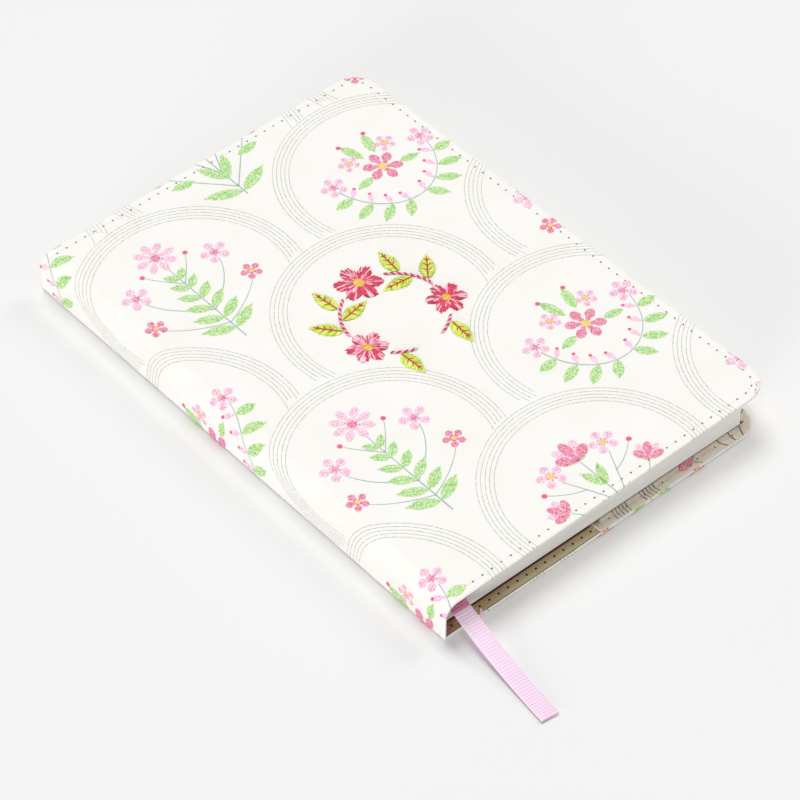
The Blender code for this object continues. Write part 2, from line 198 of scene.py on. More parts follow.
def joinCopies(name, model, placed, tones=None):  # placed holds every copy's points
    count = len(model.data.vertices)
    sides = [tuple(face.vertices) for face in model.data.polygons]
    faces = [tuple(corner + count * number for corner in side)
             for number in range(len(placed)) for side in sides]
    piece = newMesh(name, np.asarray(placed).reshape(-1, 3), faces)
    if tones is not None:
        setTone(piece, np.repeat(tones, count))
    return piece


def ease(value, low=0, high=1):
    value = np.clip((value - low) / (high - low), 0, 1)
    return value * value * (3 - 2 * value)


def runAlong(line):  # distance from its start to each point
    return np.concatenate([[0], np.cumsum(np.linalg.norm(np.diff(line, axis=0), axis=1))])


# camera, light and floor

view = {
    "azimuth": -41.001, "elevation": 46.045, "distance": 1.17627,
    "target": (-0.014075, -0.017342, 0.0), "lens": 150.946, "farEnd": 50,
}
light = {
    "sky": 0.3, "floorSize": 8.0, "floorCuts": 3, "lampAway": 3,
    "lamps": (  # strength, turn from the head of the book, height, spread
        (0.34, -155, 80, 6), (1.4, 20, 64, 34), (0.66, 90, 35, 24), (1.75, -112, 6, 24),
    ),
}


def toward(turn, rise):  # in degrees, from the head of the book and up
    turn, rise = math.radians(turn), math.radians(rise)
    return Vector((math.sin(turn) * math.cos(rise), math.cos(turn) * math.cos(rise), math.sin(rise)))


def setCamera():
    away = toward(180 - view["azimuth"], view["elevation"])
    bpy.ops.object.camera_add(location=Vector(view["target"]) + away * view["distance"])
    camera = bpy.context.object
    camera.rotation_euler = away.to_track_quat("Z", "Y").to_euler()
    camera.data.lens = view["lens"]
    camera.data.clip_end = view["farEnd"]
    bpy.context.scene.camera = camera


def setLight():
    world = bpy.data.worlds.new("studio")
    bpy.context.scene.world = world
    world.use_nodes = True
    background = world.node_tree.nodes["Background"]
    background.inputs["Color"].default_value = (1, 1, 1, 1)
    background.inputs["Strength"].default_value = light["sky"]
    for strength, turn, rise, spread in light["lamps"]:
        away = toward(turn, rise)
        bpy.ops.object.light_add(type="SUN", location=away * light["lampAway"])
        lamp = bpy.context.object
        lamp.rotation_euler = away.to_track_quat("Z", "Y").to_euler()
        lamp.data.energy = strength
        lamp.data.angle = math.radians(spread)


def srgb(red, green, blue):
    def linear(part):
        part /= 255
        return part / 12.92 if part <= 0.04045 else ((part + 0.055) / 1.055) ** 2.4
    return (linear(red), linear(green), linear(blue), 1.0)


def setSockets(tree, node, sockets):  # each to a value, or to the output that feeds it
    for name, given in sockets.items():
        if isinstance(given, bpy.types.NodeSocket):
            tree.links.new(given, node.inputs[name])
        else:
            node.inputs[name].default_value = given


def addNode(tree, kind, sockets):
    node = tree.nodes.new(f"ShaderNode{kind}")
    setSockets(tree, node, sockets)
    return node


surface = {"mottleSpread": (0.35, 0.65), "wear": ("NOISE", 90, 4), "weaveDistortion": 1.2}


def addTexture(tree, place, texture):  # (kind, scale, detail or direction, stretch)
    kind, scale, extra, *stretch = texture
    if stretch:
        place = addNode(tree, "Mapping", {"Scale": stretch[0], "Vector": place}).outputs["Vector"]
    sockets = {"Scale": scale, "Vector": place}
    if kind == "NOISE":
        return addNode(tree, "TexNoise", {**sockets, "Detail": extra}).outputs["Fac"]
    if kind == "CELLS":
        node = addNode(tree, "TexVoronoi", sockets)
        node.feature = "SMOOTH_F1"  # brings its smoothness
        node.inputs["Smoothness"].default_value = extra
        return node.outputs["Distance"]
    node = addNode(tree, "TexWave", {**sockets, "Distortion": surface["weaveDistortion"]})
    node.bands_direction = extra
    return node.outputs["Fac"]


def makeFinish(name, look):
    material = bpy.data.materials.new(name)
    material.use_nodes = True
    tree = material.node_tree
    place = addNode(tree, "TexCoord", {}).outputs["Object"]
    if "mottle" in look:
        shade = addTexture(tree, place, look["mottle"])
        low, high = surface["mottleSpread"]
    else:  # each point's own shade
        attribute = addNode(tree, "Attribute", {})
        attribute.attribute_name = "tone"
        shade = attribute.outputs["Fac"]
        low, high = 0, 1
    ramp = addNode(tree, "ValToRGB", {"Fac": shade})
    stops = ramp.color_ramp.elements
    for index, at in enumerate(np.linspace(low, high, len(look["colours"]))):
        stop = stops[index] if index < 2 else stops.new(at)
        stop.position, stop.color = at, srgb(*look["colours"][index])
    sockets = {**look.get("sockets", {}), "Base Color": ramp.outputs["Color"]}
    if "rough" in look:
        wear = {"Value": addTexture(tree, place, surface["wear"])}
        wear["To Min"], wear["To Max"] = look["rough"]
        sockets["Roughness"] = addNode(tree, "MapRange", wear).outputs["Result"]
    for texture, depth in look.get("grain", ()):
        bump = {"Strength": 1, "Distance": depth, "Height": addTexture(tree, place, texture)}
        if "Normal" in sockets:
            bump["Normal"] = sockets["Normal"]
        sockets["Normal"] = addNode(tree, "Bump", bump).outputs["Normal"]
    setSockets(tree, tree.nodes["Principled BSDF"], sockets)
    return material


def mottled(first, second, noise, rough=(0.5, 0.6), *grain):
    return {"colours": (first, second), "mottle": ("NOISE", *noise), "rough": rough, "grain": grain}


def toned(colours, rough, sockets, *grain):
    return {"colours": colours, "rough": rough, "sockets": sockets, "grain": grain}


def sewing(first, second):
    return mottled(first, second, (1500, 3), (0.6, 0.8), (("NOISE", 4000, 3), 5e-5))


def satin(rough, *colours):
    return toned(colours, rough, {"Sheen Weight": 0.25}, (("NOISE", 5000, 2), 3e-5))


leatherGloss = {"Specular IOR Level": 0.35}
finishes = {
    "floor": {"colours": ((246, 246, 246), (245, 245, 245)), "mottle": ("NOISE", 3, 2),
              "sockets": {"Roughness": 0.9, "Specular IOR Level": 0.1}},
    "skin": {**mottled((251, 248, 243), (253, 251, 247), (60, 4), (0.5, 0.62),
                       (("CELLS", 1500, 0.4), 2e-5), (("NOISE", 420, 5), 4e-5)), "sockets": leatherGloss},
    # a darker, warmer copy of the skin: painted shade for the flaps under the covers' overhang
    "flapSkin": {**mottled((224, 214, 198), (236, 227, 212), (900, 5), (0.5, 0.66),
                           (("CELLS", 1500, 0.4), 3e-5), (("NOISE", 420, 5), 4e-5)), "sockets": leatherGloss},
    # the lining's low tones are painted shade, by the spine and under the leaves
    "lining": toned(((188, 134, 108), (186, 158, 118), (212, 198, 156)), (0.5, 0.7), leatherGloss,
                    (("CELLS", 1800, 0.3), 5e-5), (("NOISE", 500, 4), 5e-5)),
    "board": mottled((176, 160, 132), (160, 144, 118), (400, 5), (0.8, 0.95)),
    "card": mottled((138, 64, 52), (106, 46, 38), (700, 5), (0.75, 0.9), (("NOISE", 1500, 3), 3e-5)),
    "liningEdge": mottled((112, 88, 60), (84, 64, 44), (700, 5), (0.75, 0.9)),
    # dark layer of the leaves: painted shade of the gaps by the cards, and the cards' dark edge
    "endPaper": mottled((92, 40, 34), (66, 29, 25), (700, 5), (0.75, 0.9)),
    "paper": mottled((246, 244, 239), (243, 241, 236), (260, 4, (0.2, 0.2, 9)), (0.8, 0.95),
                     (("NOISE", 2400, 2, (0.1, 0.1, 1)), 3e-5)),
    "cloth": mottled((232, 228, 216), (218, 212, 198), (900, 4), (0.85, 0.95),
                     (("WAVE", 900, "Y"), 5e-5), (("WAVE", 900, "Z"), 5e-5)),
    "seamThread": sewing((249, 246, 239), (244, 241, 232)),
    "liningThread": sewing((206, 194, 160), (188, 176, 140)),
    "flapThread": sewing((226, 216, 200), (214, 203, 186)),
    "needleHole": mottled((66, 62, 64), (50, 47, 50), (2500, 2), (0.8, 0.95)),
    "liningHole": mottled((66, 44, 28), (50, 32, 20), (2500, 2), (0.8, 0.95)),
    # its low tones are painted shade: deep pink at the root under the cover, duller pink in the rib grooves
    "ribbon": toned(((255, 132, 190), (240, 192, 228), (255, 230, 249)), (0.42, 0.56),
                    {"Sheen Weight": 0.2, "Sheen Roughness": 0.4}, (("NOISE", 2600, 2, (0.15, 1, 1)), 4e-5)),
    "blossomThread": satin((0.32, 0.5), (190, 8, 54), (232, 30, 88), (248, 92, 134), (255, 216, 228)),
    "pollenThread": satin((0.35, 0.5), (222, 158, 30), (244, 196, 60), (250, 220, 120)),
    "leafThread": satin((0.35, 0.5), (172, 212, 18), (220, 244, 62), (242, 253, 140)),
    "scallopInk": mottled((162, 168, 158), (206, 208, 201), (1400, 3)),
    # darker copies of the print's inks: painted shade for the flaps
    "flapInk": mottled((50, 56, 46), (84, 88, 76), (900, 3)),
    "flapLeafInk": mottled((104, 172, 84), (140, 198, 114), (1500, 3)),
    "stemInk": mottled((150, 184, 176), (176, 204, 194), (500, 4)),
    "leafInk": mottled((150, 212, 92), (236, 248, 206), (1500, 4)),
    "veinInk": mottled((112, 196, 116), (140, 212, 130), (500, 4)),
    "paleInk": mottled((246, 180, 216), (255, 236, 246), (1500, 4)),
    "rosyInk": mottled((224, 72, 122), (252, 188, 210), (1500, 4)),
    "berryInk": mottled((232, 78, 126), (240, 110, 150), (600, 4)),
    "pollenInk": mottled((246, 206, 96), (250, 220, 130), (600, 4)),
}


def layFloor():
    floor = added(bpy.ops.mesh.primitive_plane_add, size=light["floorSize"])
    floor.name = "floor"
    startEdit(floor)
    bpy.ops.mesh.subdivide(number_cuts=light["floorCuts"])
    endEdit()
    coat(floor, "floor")


setCamera()
setLight()
paints = {name: makeFinish(name, look) for name, look in finishes.items()}
layFloor()
print("camera, light, floor and finishes ready")


# the jacket, drawn flat as the cut sheet and then wrapped
# its points are: along it from mid-spine, up the book, lift off its face

joints = {joint["name"]: joint for joint in frame["joints"]}
covers = ((1, "front"), (-1, "back"))  # values of each cover are kept under 1 and -1
jacket = {
    "foldRadius": {1: 6 * mm, -1: 1.5 * mm}, "width": {1: 150.7 * mm, -1: 148.1 * mm},
    "tilt": math.radians(1.5), "roll": 0.55 * mm, "corner": 10 * mm, "skin": 0.45 * mm,
    "seamInset": 3 * mm, "seamDip": 0.07 * mm, "seamSpread": 0.6 * mm,
    "curl": 0.3 * mm, "curlWide": 3 * mm, "curlStart": 55 * mm, "curlEnd": 70 * mm, "curlSteps": 7,
    "foldSteps": 13, "foldMargin": 0.7 * mm, "rollSteps": 8, "cornerSteps": 16,
    "rings": [0.4 * mm, 1 * mm, *[0.35 * mm] * 6, 1.2 * mm],  # inside the rolled edge
    "bend": {1: (0.47, 0.515), -1: (0, 1)},  # where along each fold it turns
}
spineX, _, spineHeight = joints["front_cover_hinge"]["pos_m"]
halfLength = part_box("back_cover_skin")[1].y
foldRadius, coverWidth, roll = jacket["foldRadius"], jacket["width"], jacket["roll"]
foldArc = {1: math.pi / 2 - jacket["tilt"], -1: math.pi / 2}
foldTangent = {side: foldRadius[side] * math.tan(arc / 2) for side, arc in foldArc.items()}
foldStart = {side: spineHeight / 2 - tangent for side, tangent in foldTangent.items()}
foldEnd = {side: foldStart[side] + foldRadius[side] * foldArc[side] for side in (1, -1)}
reach = {side: foldEnd[side] + coverWidth[side] - foldTangent[side] for side in (1, -1)}


def bySide(along, values):
    return np.where(along < 0, values[-1], values[1])


def coverPlace(side, x):  # distance along the jacket for a distance from the spine on one cover
    return side * (foldEnd[side] + x - foldTangent[side])


def onProfile(along):
    side, run = np.where(along < 0, -1, 1), np.abs(along)
    start, arc, radius = (bySide(along, values) for values in (foldStart, foldArc, foldRadius))
    turn = np.clip((run - start) / radius, 0, arc)
    past = np.clip(run - start - radius * arc, 0, None)
    x = radius * (1 - np.cos(turn)) + past * np.sin(turn)
    rise = np.minimum(run, start) + radius * np.sin(turn) + past * np.cos(turn)
    return spineX + x, spineHeight / 2 + side * rise, -np.cos(turn), side * np.sin(turn)


def pastRoll(along, y):  # distance past the line where the edge starts to turn, and the way it turns
    corner = jacket["corner"] - roll
    overAlong = np.abs(along) - (bySide(along, reach) - roll - corner)
    overY = np.abs(y) - (halfLength - roll - corner)
    outAlong, outY = np.clip(overAlong, 0, None), np.clip(overY, 0, None)
    out = np.hypot(outAlong, outY)
    distance = np.where(out > 0, out, np.maximum(overAlong, overY)) - corner
    safe = np.where(out > 0, out, 1)
    wayAlong = np.where(out > 0, outAlong / safe, overAlong > overY) * np.sign(along)
    wayY = np.where(out > 0, outY / safe, overAlong <= overY) * np.sign(y)
    return distance, wayAlong, wayY


def wrapped(points, rolled=True, dip=None):
    along, y, lift = np.asarray(points, float).T
    distance, wayAlong, wayY = pastRoll(along, y)
    dip = jacket["seamDip"] if dip is None else dip
    depth = dip * np.exp(-(((distance + jacket["seamInset"] - roll) / jacket["seamSpread"]) ** 2)) - lift
    if rolled:
        past = np.clip(distance, 0, None)
        turn = np.clip(past / roll, 0, math.pi)
        shift = (roll + lift) * np.sin(turn) - (past - turn * roll) - past
        depth = np.where(past > 0, roll - (roll + lift) * np.cos(turn), depth)
        along, y = along + wayAlong * shift * (past > 0), y + wayY * shift * (past > 0)
    fromSpine = foldTangent[-1] - foldEnd[-1] - along
    curl = ease(fromSpine, jacket["curlStart"], jacket["curlEnd"]) * jacket["curl"]
    curl *= ease(1 + (distance - roll) / jacket["curlWide"])  # the back cover's edge is off the table
    x, z, outX, outZ = onProfile(along)
    return np.stack([x - outX * depth, y, z - outZ * depth + curl], axis=1)


def placeOnCover(piece, side, points):  # points by distance from the spine, up the book and lift
    points[:, 0] = coverPlace(side, points[:, 0])
    placePoints(piece, wrapped(points, False, 0))


def bendWithSpine(piece, side):
    if side > 0:
        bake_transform(piece)
    else:
        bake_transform(piece)


def foldLines(side):
    start, end = foldStart[side], foldEnd[side]
    lines = (start - jacket["foldMargin"], start, *between(start, end, jacket["foldSteps"]), end,
             end + jacket["foldMargin"])
    return [side * line for line in lines]


def bendLines():  # where a sheet is cut so that it can follow the folds and the curl
    curls = np.linspace(jacket["curlStart"], jacket["curlEnd"], jacket["curlSteps"])
    return foldLines(1) + foldLines(-1) + [coverPlace(-1, place) for place in curls]


def flatSheet(name, low, high, half, corner, rings=(), foreOnly=False):
    sheet = added(bpy.ops.mesh.primitive_plane_add, size=1, location=((low + high) / 2, 0, 0))
    sheet.name = name
    bpy.ops.transform.resize(value=(high - low, 2 * half, 1))
    applyPlacing()
    startEdit(sheet)
    if foreOnly:  # square on the spine's side
        pick(sheet, lambda point: point.x > (low + high) / 2)
    bpy.ops.mesh.bevel(offset=corner, segments=jacket["cornerSteps"], affect="VERTICES", profile=0.5)
    bpy.ops.mesh.select_all(action="SELECT")
    for ring in rings:
        bpy.ops.mesh.inset(thickness=ring, depth=0)
    endEdit()
    return sheet


def halvesOf(sheet):
    found = {side: copyMesh(f"{sheet.name}_{cover}", sheet) for side, cover in covers}
    for side, piece in found.items():
        bisectAt(piece, [((0, 0, 0), (side, 0, 0))], clear_inner=True)
    discard(sheet)
    return found


def makeSkin():
    over = (math.pi - 1) * roll
    rings = [math.pi * roll / jacket["rollSteps"]] * jacket["rollSteps"] + jacket["rings"]
    sheet = flatSheet("jacket", -reach[-1] - over, reach[1] + over, halfLength + over,
                      jacket["corner"] + over, rings)
    bisectAt(sheet, xCuts(bendLines()))
    halves = halvesOf(sheet)
    for side, piece in halves.items():
        thicken(piece, jacket["skin"])
        placePoints(piece, wrapped(pointsOf(piece)))
        smooth(piece)
        coat(piece, "skin")
        bendWithSpine(piece, side)
    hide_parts("front_cover_skin", "spine_skin")
    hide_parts("back_cover_skin")


makeSkin()
print("jacket skin ready")


# ribbon marker

ribbon = {
    "width": 7 * mm, "thick": 0.26 * mm, "ribPitch": 1.2 * mm, "ribHeight": 0.2 * mm, "ribLift": 0.02 * mm,
    "ribShape": 0.7, "ribTone": (0.2, 0.35), "ribFade": 1.7, "ribFadeStart": 0.5, "perRib": 8, "across": 12,
    "selvedge": 0.5 * mm, "root": 2.3 * mm, "rootFade": 0.8 * mm, "rootTone": 0.12,
    "pathSteps": 3, "weaveSteps": 16, "innerStops": 40,
    "route": (
        (9.4, -105.6, 8.10), (9.2, -108.5, 7.50), (8.8, -113.5, 5.90), (8.2, -120.5, 4.20),
        (7.4, -129.0, 2.60), (6.5, -138.0, 1.40), (5.6, -146.5, 0.85), (4.9, -152.5, 0.80),
        (4.4, -156.4, 1.00),
    ),
}


def smoothRoute(points, steps):
    known = [Vector(point) for point in points]
    known = [2 * known[0] - known[1], *known, 2 * known[-1] - known[-2]]
    found = []
    for a, b, c, d in zip(known, known[1:], known[2:], known[3:]):
        for step in range(steps):
            t = step / steps
            bend = 2 * a - 5 * b + 4 * c - d
            found.append(0.5 * (2 * b + t * (c - a) + t**2 * bend + t**3 * (3 * b - a - 3 * c + d)))
    return [*found, known[-2]]


def weaveRibbon(name, path):
    line = np.array([tuple(point) for point in path])
    run = runAlong(line)
    rows = int(run[-1] / ribbon["ribPitch"] * ribbon["perRib"])
    piece = added(bpy.ops.mesh.primitive_grid_add, size=1, x_subdivisions=ribbon["across"],
                  y_subdivisions=rows)
    piece.name = name
    flat = pointsOf(piece)
    reachAlong = (flat[:, 1] + 0.5) * run[-1]
    centre, ahead = (np.stack([np.interp(reachAlong, run, values[:, axis]) for axis in range(3)], axis=1)
                     for values in (line, np.gradient(line, run, axis=0)))
    ahead /= np.linalg.norm(ahead, axis=1)[:, None]
    across = np.cross(ahead, (0, 0, 1))
    across /= np.linalg.norm(across, axis=1)[:, None]
    side = flat[:, 0] * ribbon["width"]
    inner = ease((ribbon["width"] / 2 - np.abs(side)) / ribbon["selvedge"])
    crest = np.abs(np.sin(math.pi * reachAlong / ribbon["ribPitch"])) ** ribbon["ribShape"]
    least, more = ribbon["ribTone"]  # painted shade in the grooves between ribs, deeper towards the free end
    grooveShade = least + more * ease(ribbon["ribFade"] * reachAlong / run[-1] - ribbon["ribFadeStart"])
    # painted shade: the root's first few mm are tinted deep pink where the cover overhangs it
    lit = ease((reachAlong - ribbon["root"]) / ribbon["rootFade"])
    setTone(piece, (1 - grooveShade * (1 - crest)) * (ribbon["rootTone"] + (1 - ribbon["rootTone"]) * lit))
    rise = crest * ribbon["ribHeight"] * inner - ribbon["thick"] / 2 + ribbon["ribLift"]
    placePoints(piece, centre + across * side[:, None] + np.cross(across, ahead) * rise[:, None])
    thicken(piece, ribbon["thick"], 0)
    finishPiece(piece, 60, "ribbon")
    return piece


def makeRibbon():
    route = [Vector((spineX + x * mm, y * mm, z * mm)) for x, y, z in ribbon["route"]]
    tail = weaveRibbon("ribbon_marker", smoothRoute(route, ribbon["weaveSteps"]))
    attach(tail, "back_cover")
    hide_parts("ribbon_tail")
    low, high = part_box("ribbon_inner")
    stops = [((low.x + high.x) / 2, y, (low.z + high.z) / 2)
             for y in np.linspace(low.y, high.y, ribbon["innerStops"])]
    inner = weaveRibbon("ribbon_between_leaves", stops)
    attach(inner, "back_cover")
    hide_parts("ribbon_inner")


makeRibbon()
print("ribbon ready")


# lining and inner flaps

lining = {
    "thick": 0.5 * mm, "edgeDepth": 0.5 * mm, "coverDepth": 1.3 * mm, "edge": 0.9 * mm, "dip": -0.08 * mm,
    "foldSpare": 3 * mm, "riseStart": 2.4 * mm, "riseEnd": 4.8 * mm,
    "cuts": (1.5, 2.2, 3, 4, 7, 12, 20, 30, 42, 56), "rings": [0.4 * mm] * 11 + [1.5 * mm],
    "brown": 0.15, "brownWide": 34 * mm, "shade": 0.35, "shadeStart": 1.5 * mm, "shadeWide": 3 * mm,
}
flap = {
    "wide": 77.4 * mm, "edge": 0.3 * mm, "depth": 2.2 * mm, "thick": 0.5 * mm, "drop": 1.04 * mm,
    "dropStart": 5 * mm, "dropEnd": 2.4 * mm, "dropSteps": 8, "dip": 0.072 * mm, "round": 0.22 * mm,
    "rings": [0.5 * mm] * 2 + [0.35 * mm] * 11 + [1 * mm],
}
flapStart = {side: coverWidth[side] - flap["wide"] for side in (1, -1)}


def liningDepth(along, y):  # depth of its hidden face: thin over the spine and at the sewn edge
    start, end = bySide(along, foldStart), bySide(along, foldEnd) + lining["foldSpare"]
    inset = roll - pastRoll(along, y)[0]
    share = ease(np.abs(along), start, end) * ease(inset, lining["riseStart"], lining["riseEnd"])
    return lining["edgeDepth"] + (lining["coverDepth"] - lining["edgeDepth"]) * share


def makeLining():
    edge, brown = lining["edge"], lining["brown"]
    sheet = flatSheet("lining", edge - reach[-1], reach[1] - edge, halfLength - edge, jacket["corner"] - edge,
                      lining["rings"])
    extra = [side * (foldEnd[side] + cut * mm) for side in (1, -1) for cut in lining["cuts"]]
    bisectAt(sheet, xCuts(bendLines() + extra))
    halves = halvesOf(sheet)
    for side, piece in halves.items():
        coat(piece, "lining", "liningEdge")
        thicken(piece, lining["thick"], material_offset_rim=1)
        points = pointsOf(piece)
        past = np.abs(points[:, 0]) - foldEnd[side]
        inset = roll - pastRoll(points[:, 0], points[:, 1])[0]
        # painted shade: browner and darker by the spine and under the leaves
        shaded = lining["shade"] * ease((inset - lining["shadeStart"]) / lining["shadeWide"])
        setTone(piece, (brown + (1 - brown) * ease(past / lining["brownWide"])) * (1 - shaded))
        points[:, 2] -= liningDepth(points[:, 0], points[:, 1])
        placePoints(piece, wrapped(points, False, lining["dip"]))
        smooth(piece)
        bendWithSpine(piece, side)
    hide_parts("front_lining", "spine_lining")
    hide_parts("back_lining")


def flapDepth(side, x, y):  # depth of the flap's face that lies on the rim
    corner = jacket["corner"] - flap["edge"]
    overX = np.clip(x - (coverWidth[side] - flap["edge"] - corner), -corner, None)
    overY = np.abs(y) - (halfLength - flap["edge"] - corner)
    outside = np.hypot(np.clip(overX, 0, None), np.clip(overY, 0, None))
    inset = corner - np.where(outside > 0, outside, np.maximum(overX, overY))
    share = ease(inset, flap["dropStart"], flap["dropEnd"])
    sewn = np.exp(-(((inset - jacket["seamInset"] + flap["edge"]) / jacket["seamSpread"]) ** 2))
    return flap["depth"] - flap["drop"] * share - flap["dip"] * sewn


def makeFlaps():
    for side, cover in covers:
        edge = flap["edge"]
        piece = flatSheet(f"{cover}_pocket_flap", flapStart[side], coverWidth[side] - edge, halfLength - edge,
                          jacket["corner"] - edge, flap["rings"], foreOnly=True)
        thicken(piece, flap["thick"])
        roundEdges(piece, flap["round"], 3)
        points = pointsOf(piece)
        points[:, 2] -= flapDepth(side, points[:, 0], points[:, 1])
        placeOnCover(piece, side, points)
        # the flap takes the skin's painted-shade copy
        finishPiece(piece, 50, "flapSkin")
        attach(piece, f"{cover}_cover")
        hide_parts(f"{cover}_flap")


makeLining()
makeFlaps()
print("lining and flaps ready")


# seam right round the jacket: needle holes and the thread between them, outside and inside

seam = {
    "pitch": 4.2 * mm, "cornerSteps": 24, "thread": 0.3 * mm, "threadFlat": 0.8, "threadTaper": 0.45,
    "threadSteps": 7, "threadSides": 8, "holeSides": 12, "holeThick": 0.3, "holeRim": 0.14, "holeSink": 0.08,
    "rise": 0.06 * mm, "sink": 0.06 * mm, "holes": {"outer": 0.68 * mm, "inner": 0.9 * mm},
    "holeDepth": 0.3 * mm, "flapHole": 0.6 * mm, "flapSpare": 0.4 * mm,
    "paints": {"outer": ("seamThread", "needleHole"), "inner": ("liningThread", "liningHole")},
    "spineEnds": {1: "spine_head_stitching", -1: "spine_tail_stitching"},
}


def seamPlaces():
    inset = jacket["seamInset"]
    corner = jacket["corner"] - inset
    line = []
    for side, end, first in ((1, -1, -90), (1, 1, 0), (-1, 1, 90), (-1, -1, 180)):
        for angle in np.radians(np.linspace(first, first + 90, seam["cornerSteps"] + 1)):
            line.append((side * (reach[side] - inset - corner) + corner * math.cos(angle),
                         end * (halfLength - inset - corner) + corner * math.sin(angle)))
    line = np.array([*line, line[0]])
    run = runAlong(line)
    count = round(run[-1] / seam["pitch"])
    places = run[-1] * np.arange(count) / count
    stops = list(np.column_stack([np.interp(places, run, values) for values in line.T]))
    return list(zip(stops, stops[1:] + stops[:1]))


def modelThread(vertices, middle, cuts):  # one unit long, lying along X
    piece = added(bpy.ops.mesh.primitive_cylinder_add, vertices=vertices, radius=0.5, depth=1,
                  rotation=(0, math.pi / 2, 0), location=(middle, 0, 0))
    applyPlacing()
    bisectAt(piece, xCuts(cuts))
    return piece


def modelStitch():
    piece = modelThread(seam["threadSides"], 0, between(-0.5, 0.5, seam["threadSteps"]))
    points = pointsOf(piece)
    points[:, 1:] *= 1 - seam["threadTaper"] * np.abs(2 * points[:, :1]) ** 5
    placePoints(piece, points)
    return piece


def modelHole():  # a shallow dish
    piece = added(bpy.ops.mesh.primitive_cylinder_add, vertices=seam["holeSides"], radius=0.5,
                  depth=seam["holeThick"])
    startEdit(piece)
    pick(piece, lambda point: point.z > 0)
    bpy.ops.mesh.inset(thickness=seam["holeRim"], depth=-seam["holeSink"])
    endEdit()
    return piece


def laid(points, long, wide, ahead, middle, lift):  # one copy on the flat sheet
    across = np.array([-ahead[1], ahead[0]])
    plan = points[:, :1] * long * ahead + points[:, 1:2] * wide * across + middle
    return np.column_stack([plan, lift])


def seamCopies(face, side, stitch, hole):  # of one half, and which of its stitches lie on the flap
    threads, holes, flapped = [], [], []
    threadLift = stitch[:, 2] * seam["thread"] * seam["threadFlat"]
    threadLift += seam["rise"] * (1 - np.abs(2 * stitch[:, 0]) ** 4) - seam["sink"]
    for number, (start, end) in enumerate(seamPlaces()):
        if (start[0] + end[0]) * side < 0:
            continue
        length = np.linalg.norm(end - start)
        ahead, middle = (end - start) / length, (start + end) / 2
        onFlap = face == "inner" and abs(start[0]) > foldEnd[side] - foldTangent[side] + flapStart[side]
        wide = seam["flapHole"] if onFlap else seam["holes"][face]
        threads.append(laid(stitch, length - wide / 2, seam["thread"], ahead, middle, threadLift))
        flapped.append(onFlap)
        overSpine = face == "outer" and abs(start[0]) < foldEnd[side]
        if not (overSpine or onFlap and number % 2):  # the others are drawn in too tight to show
            holes.append(laid(hole, wide, wide, ahead, start, hole[:, 2] * seam["holeDepth"]))
    return threads, holes, flapped


def layInside(piece, side):  # on the lining, or on the flap where there is one
    points = pointsOf(piece)
    x = np.abs(points[:, 0]) - foldEnd[side] + foldTangent[side]
    bed = liningDepth(points[:, 0], points[:, 1]) + lining["thick"] + lining["dip"]
    top = flapDepth(side, x, points[:, 1]) + flap["thick"]
    points[:, 2] = -np.where(x > flapStart[side] - seam["flapSpare"], top, bed) - points[:, 2]
    placePoints(piece, wrapped(points, False, 0))


def sewSeam():
    models = modelStitch(), modelHole()
    for face, side, cover in ((face, *half) for face in seam["paints"] for half in covers):
        *copies, flapped = seamCopies(face, side, *map(pointsOf, models))
        made = zip(("thread", "needle_holes"), models, copies, seam["paints"][face])
        for kind, model, found, paint in made:
            piece = joinCopies(f"{cover}_{face}_{kind}", model, found)
            if face == "outer":
                placePoints(piece, wrapped(pointsOf(piece)))
            else:
                layInside(piece, side)
            finishPiece(piece, 50, paint)
            bendWithSpine(piece, side)
            if kind == "thread" and face == "outer":
                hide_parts(f"{cover}_edge_stitching", seam["spineEnds"][side])
            elif kind == "thread":
                coat(piece, "flapThread")
                setSlots(piece, np.repeat(flapped, len(model.data.polygons)))
                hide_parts(f"{cover}_inner_stitching")
    for model in models:
        discard(model)


sewSeam()
print("seam ready")


# leaves

leaves = {
    "seed": 5, "perSection": 5, "groove": 0.09 * mm, "grooveNear": 0.004 * mm, "uneven": 0.05 * mm,
    "edgeNear": 0.02 * mm, "start": 2.75 * mm, "along": 9, "across": 6, "sections": 8, "perHalf": 4,
    "endPaper": 0.38 * mm, "tailOut": 0.3 * mm, "close": 0.22 * mm, "parted": 0.4 * mm,
    "ribbonRoom": 4.5 * mm, "ribbonFade": 8 * mm,
}
leafSlope = math.tan(jacket["tilt"])
leafTop = spineHeight - leaves["start"] / math.cos(jacket["tilt"])  # at the spine


def leafPlane(share):  # between leaves, 0 under the lowest and 1 over the highest
    place = (spineX, 0, leaves["start"] + share * (leafTop - leaves["start"]))
    return place, Vector((-share * leafSlope, 0, 1)).normalized()


def nearPlane(points, plane, limit):
    return np.abs((points - np.array(plane[0])) @ np.array(plane[1])) < limit


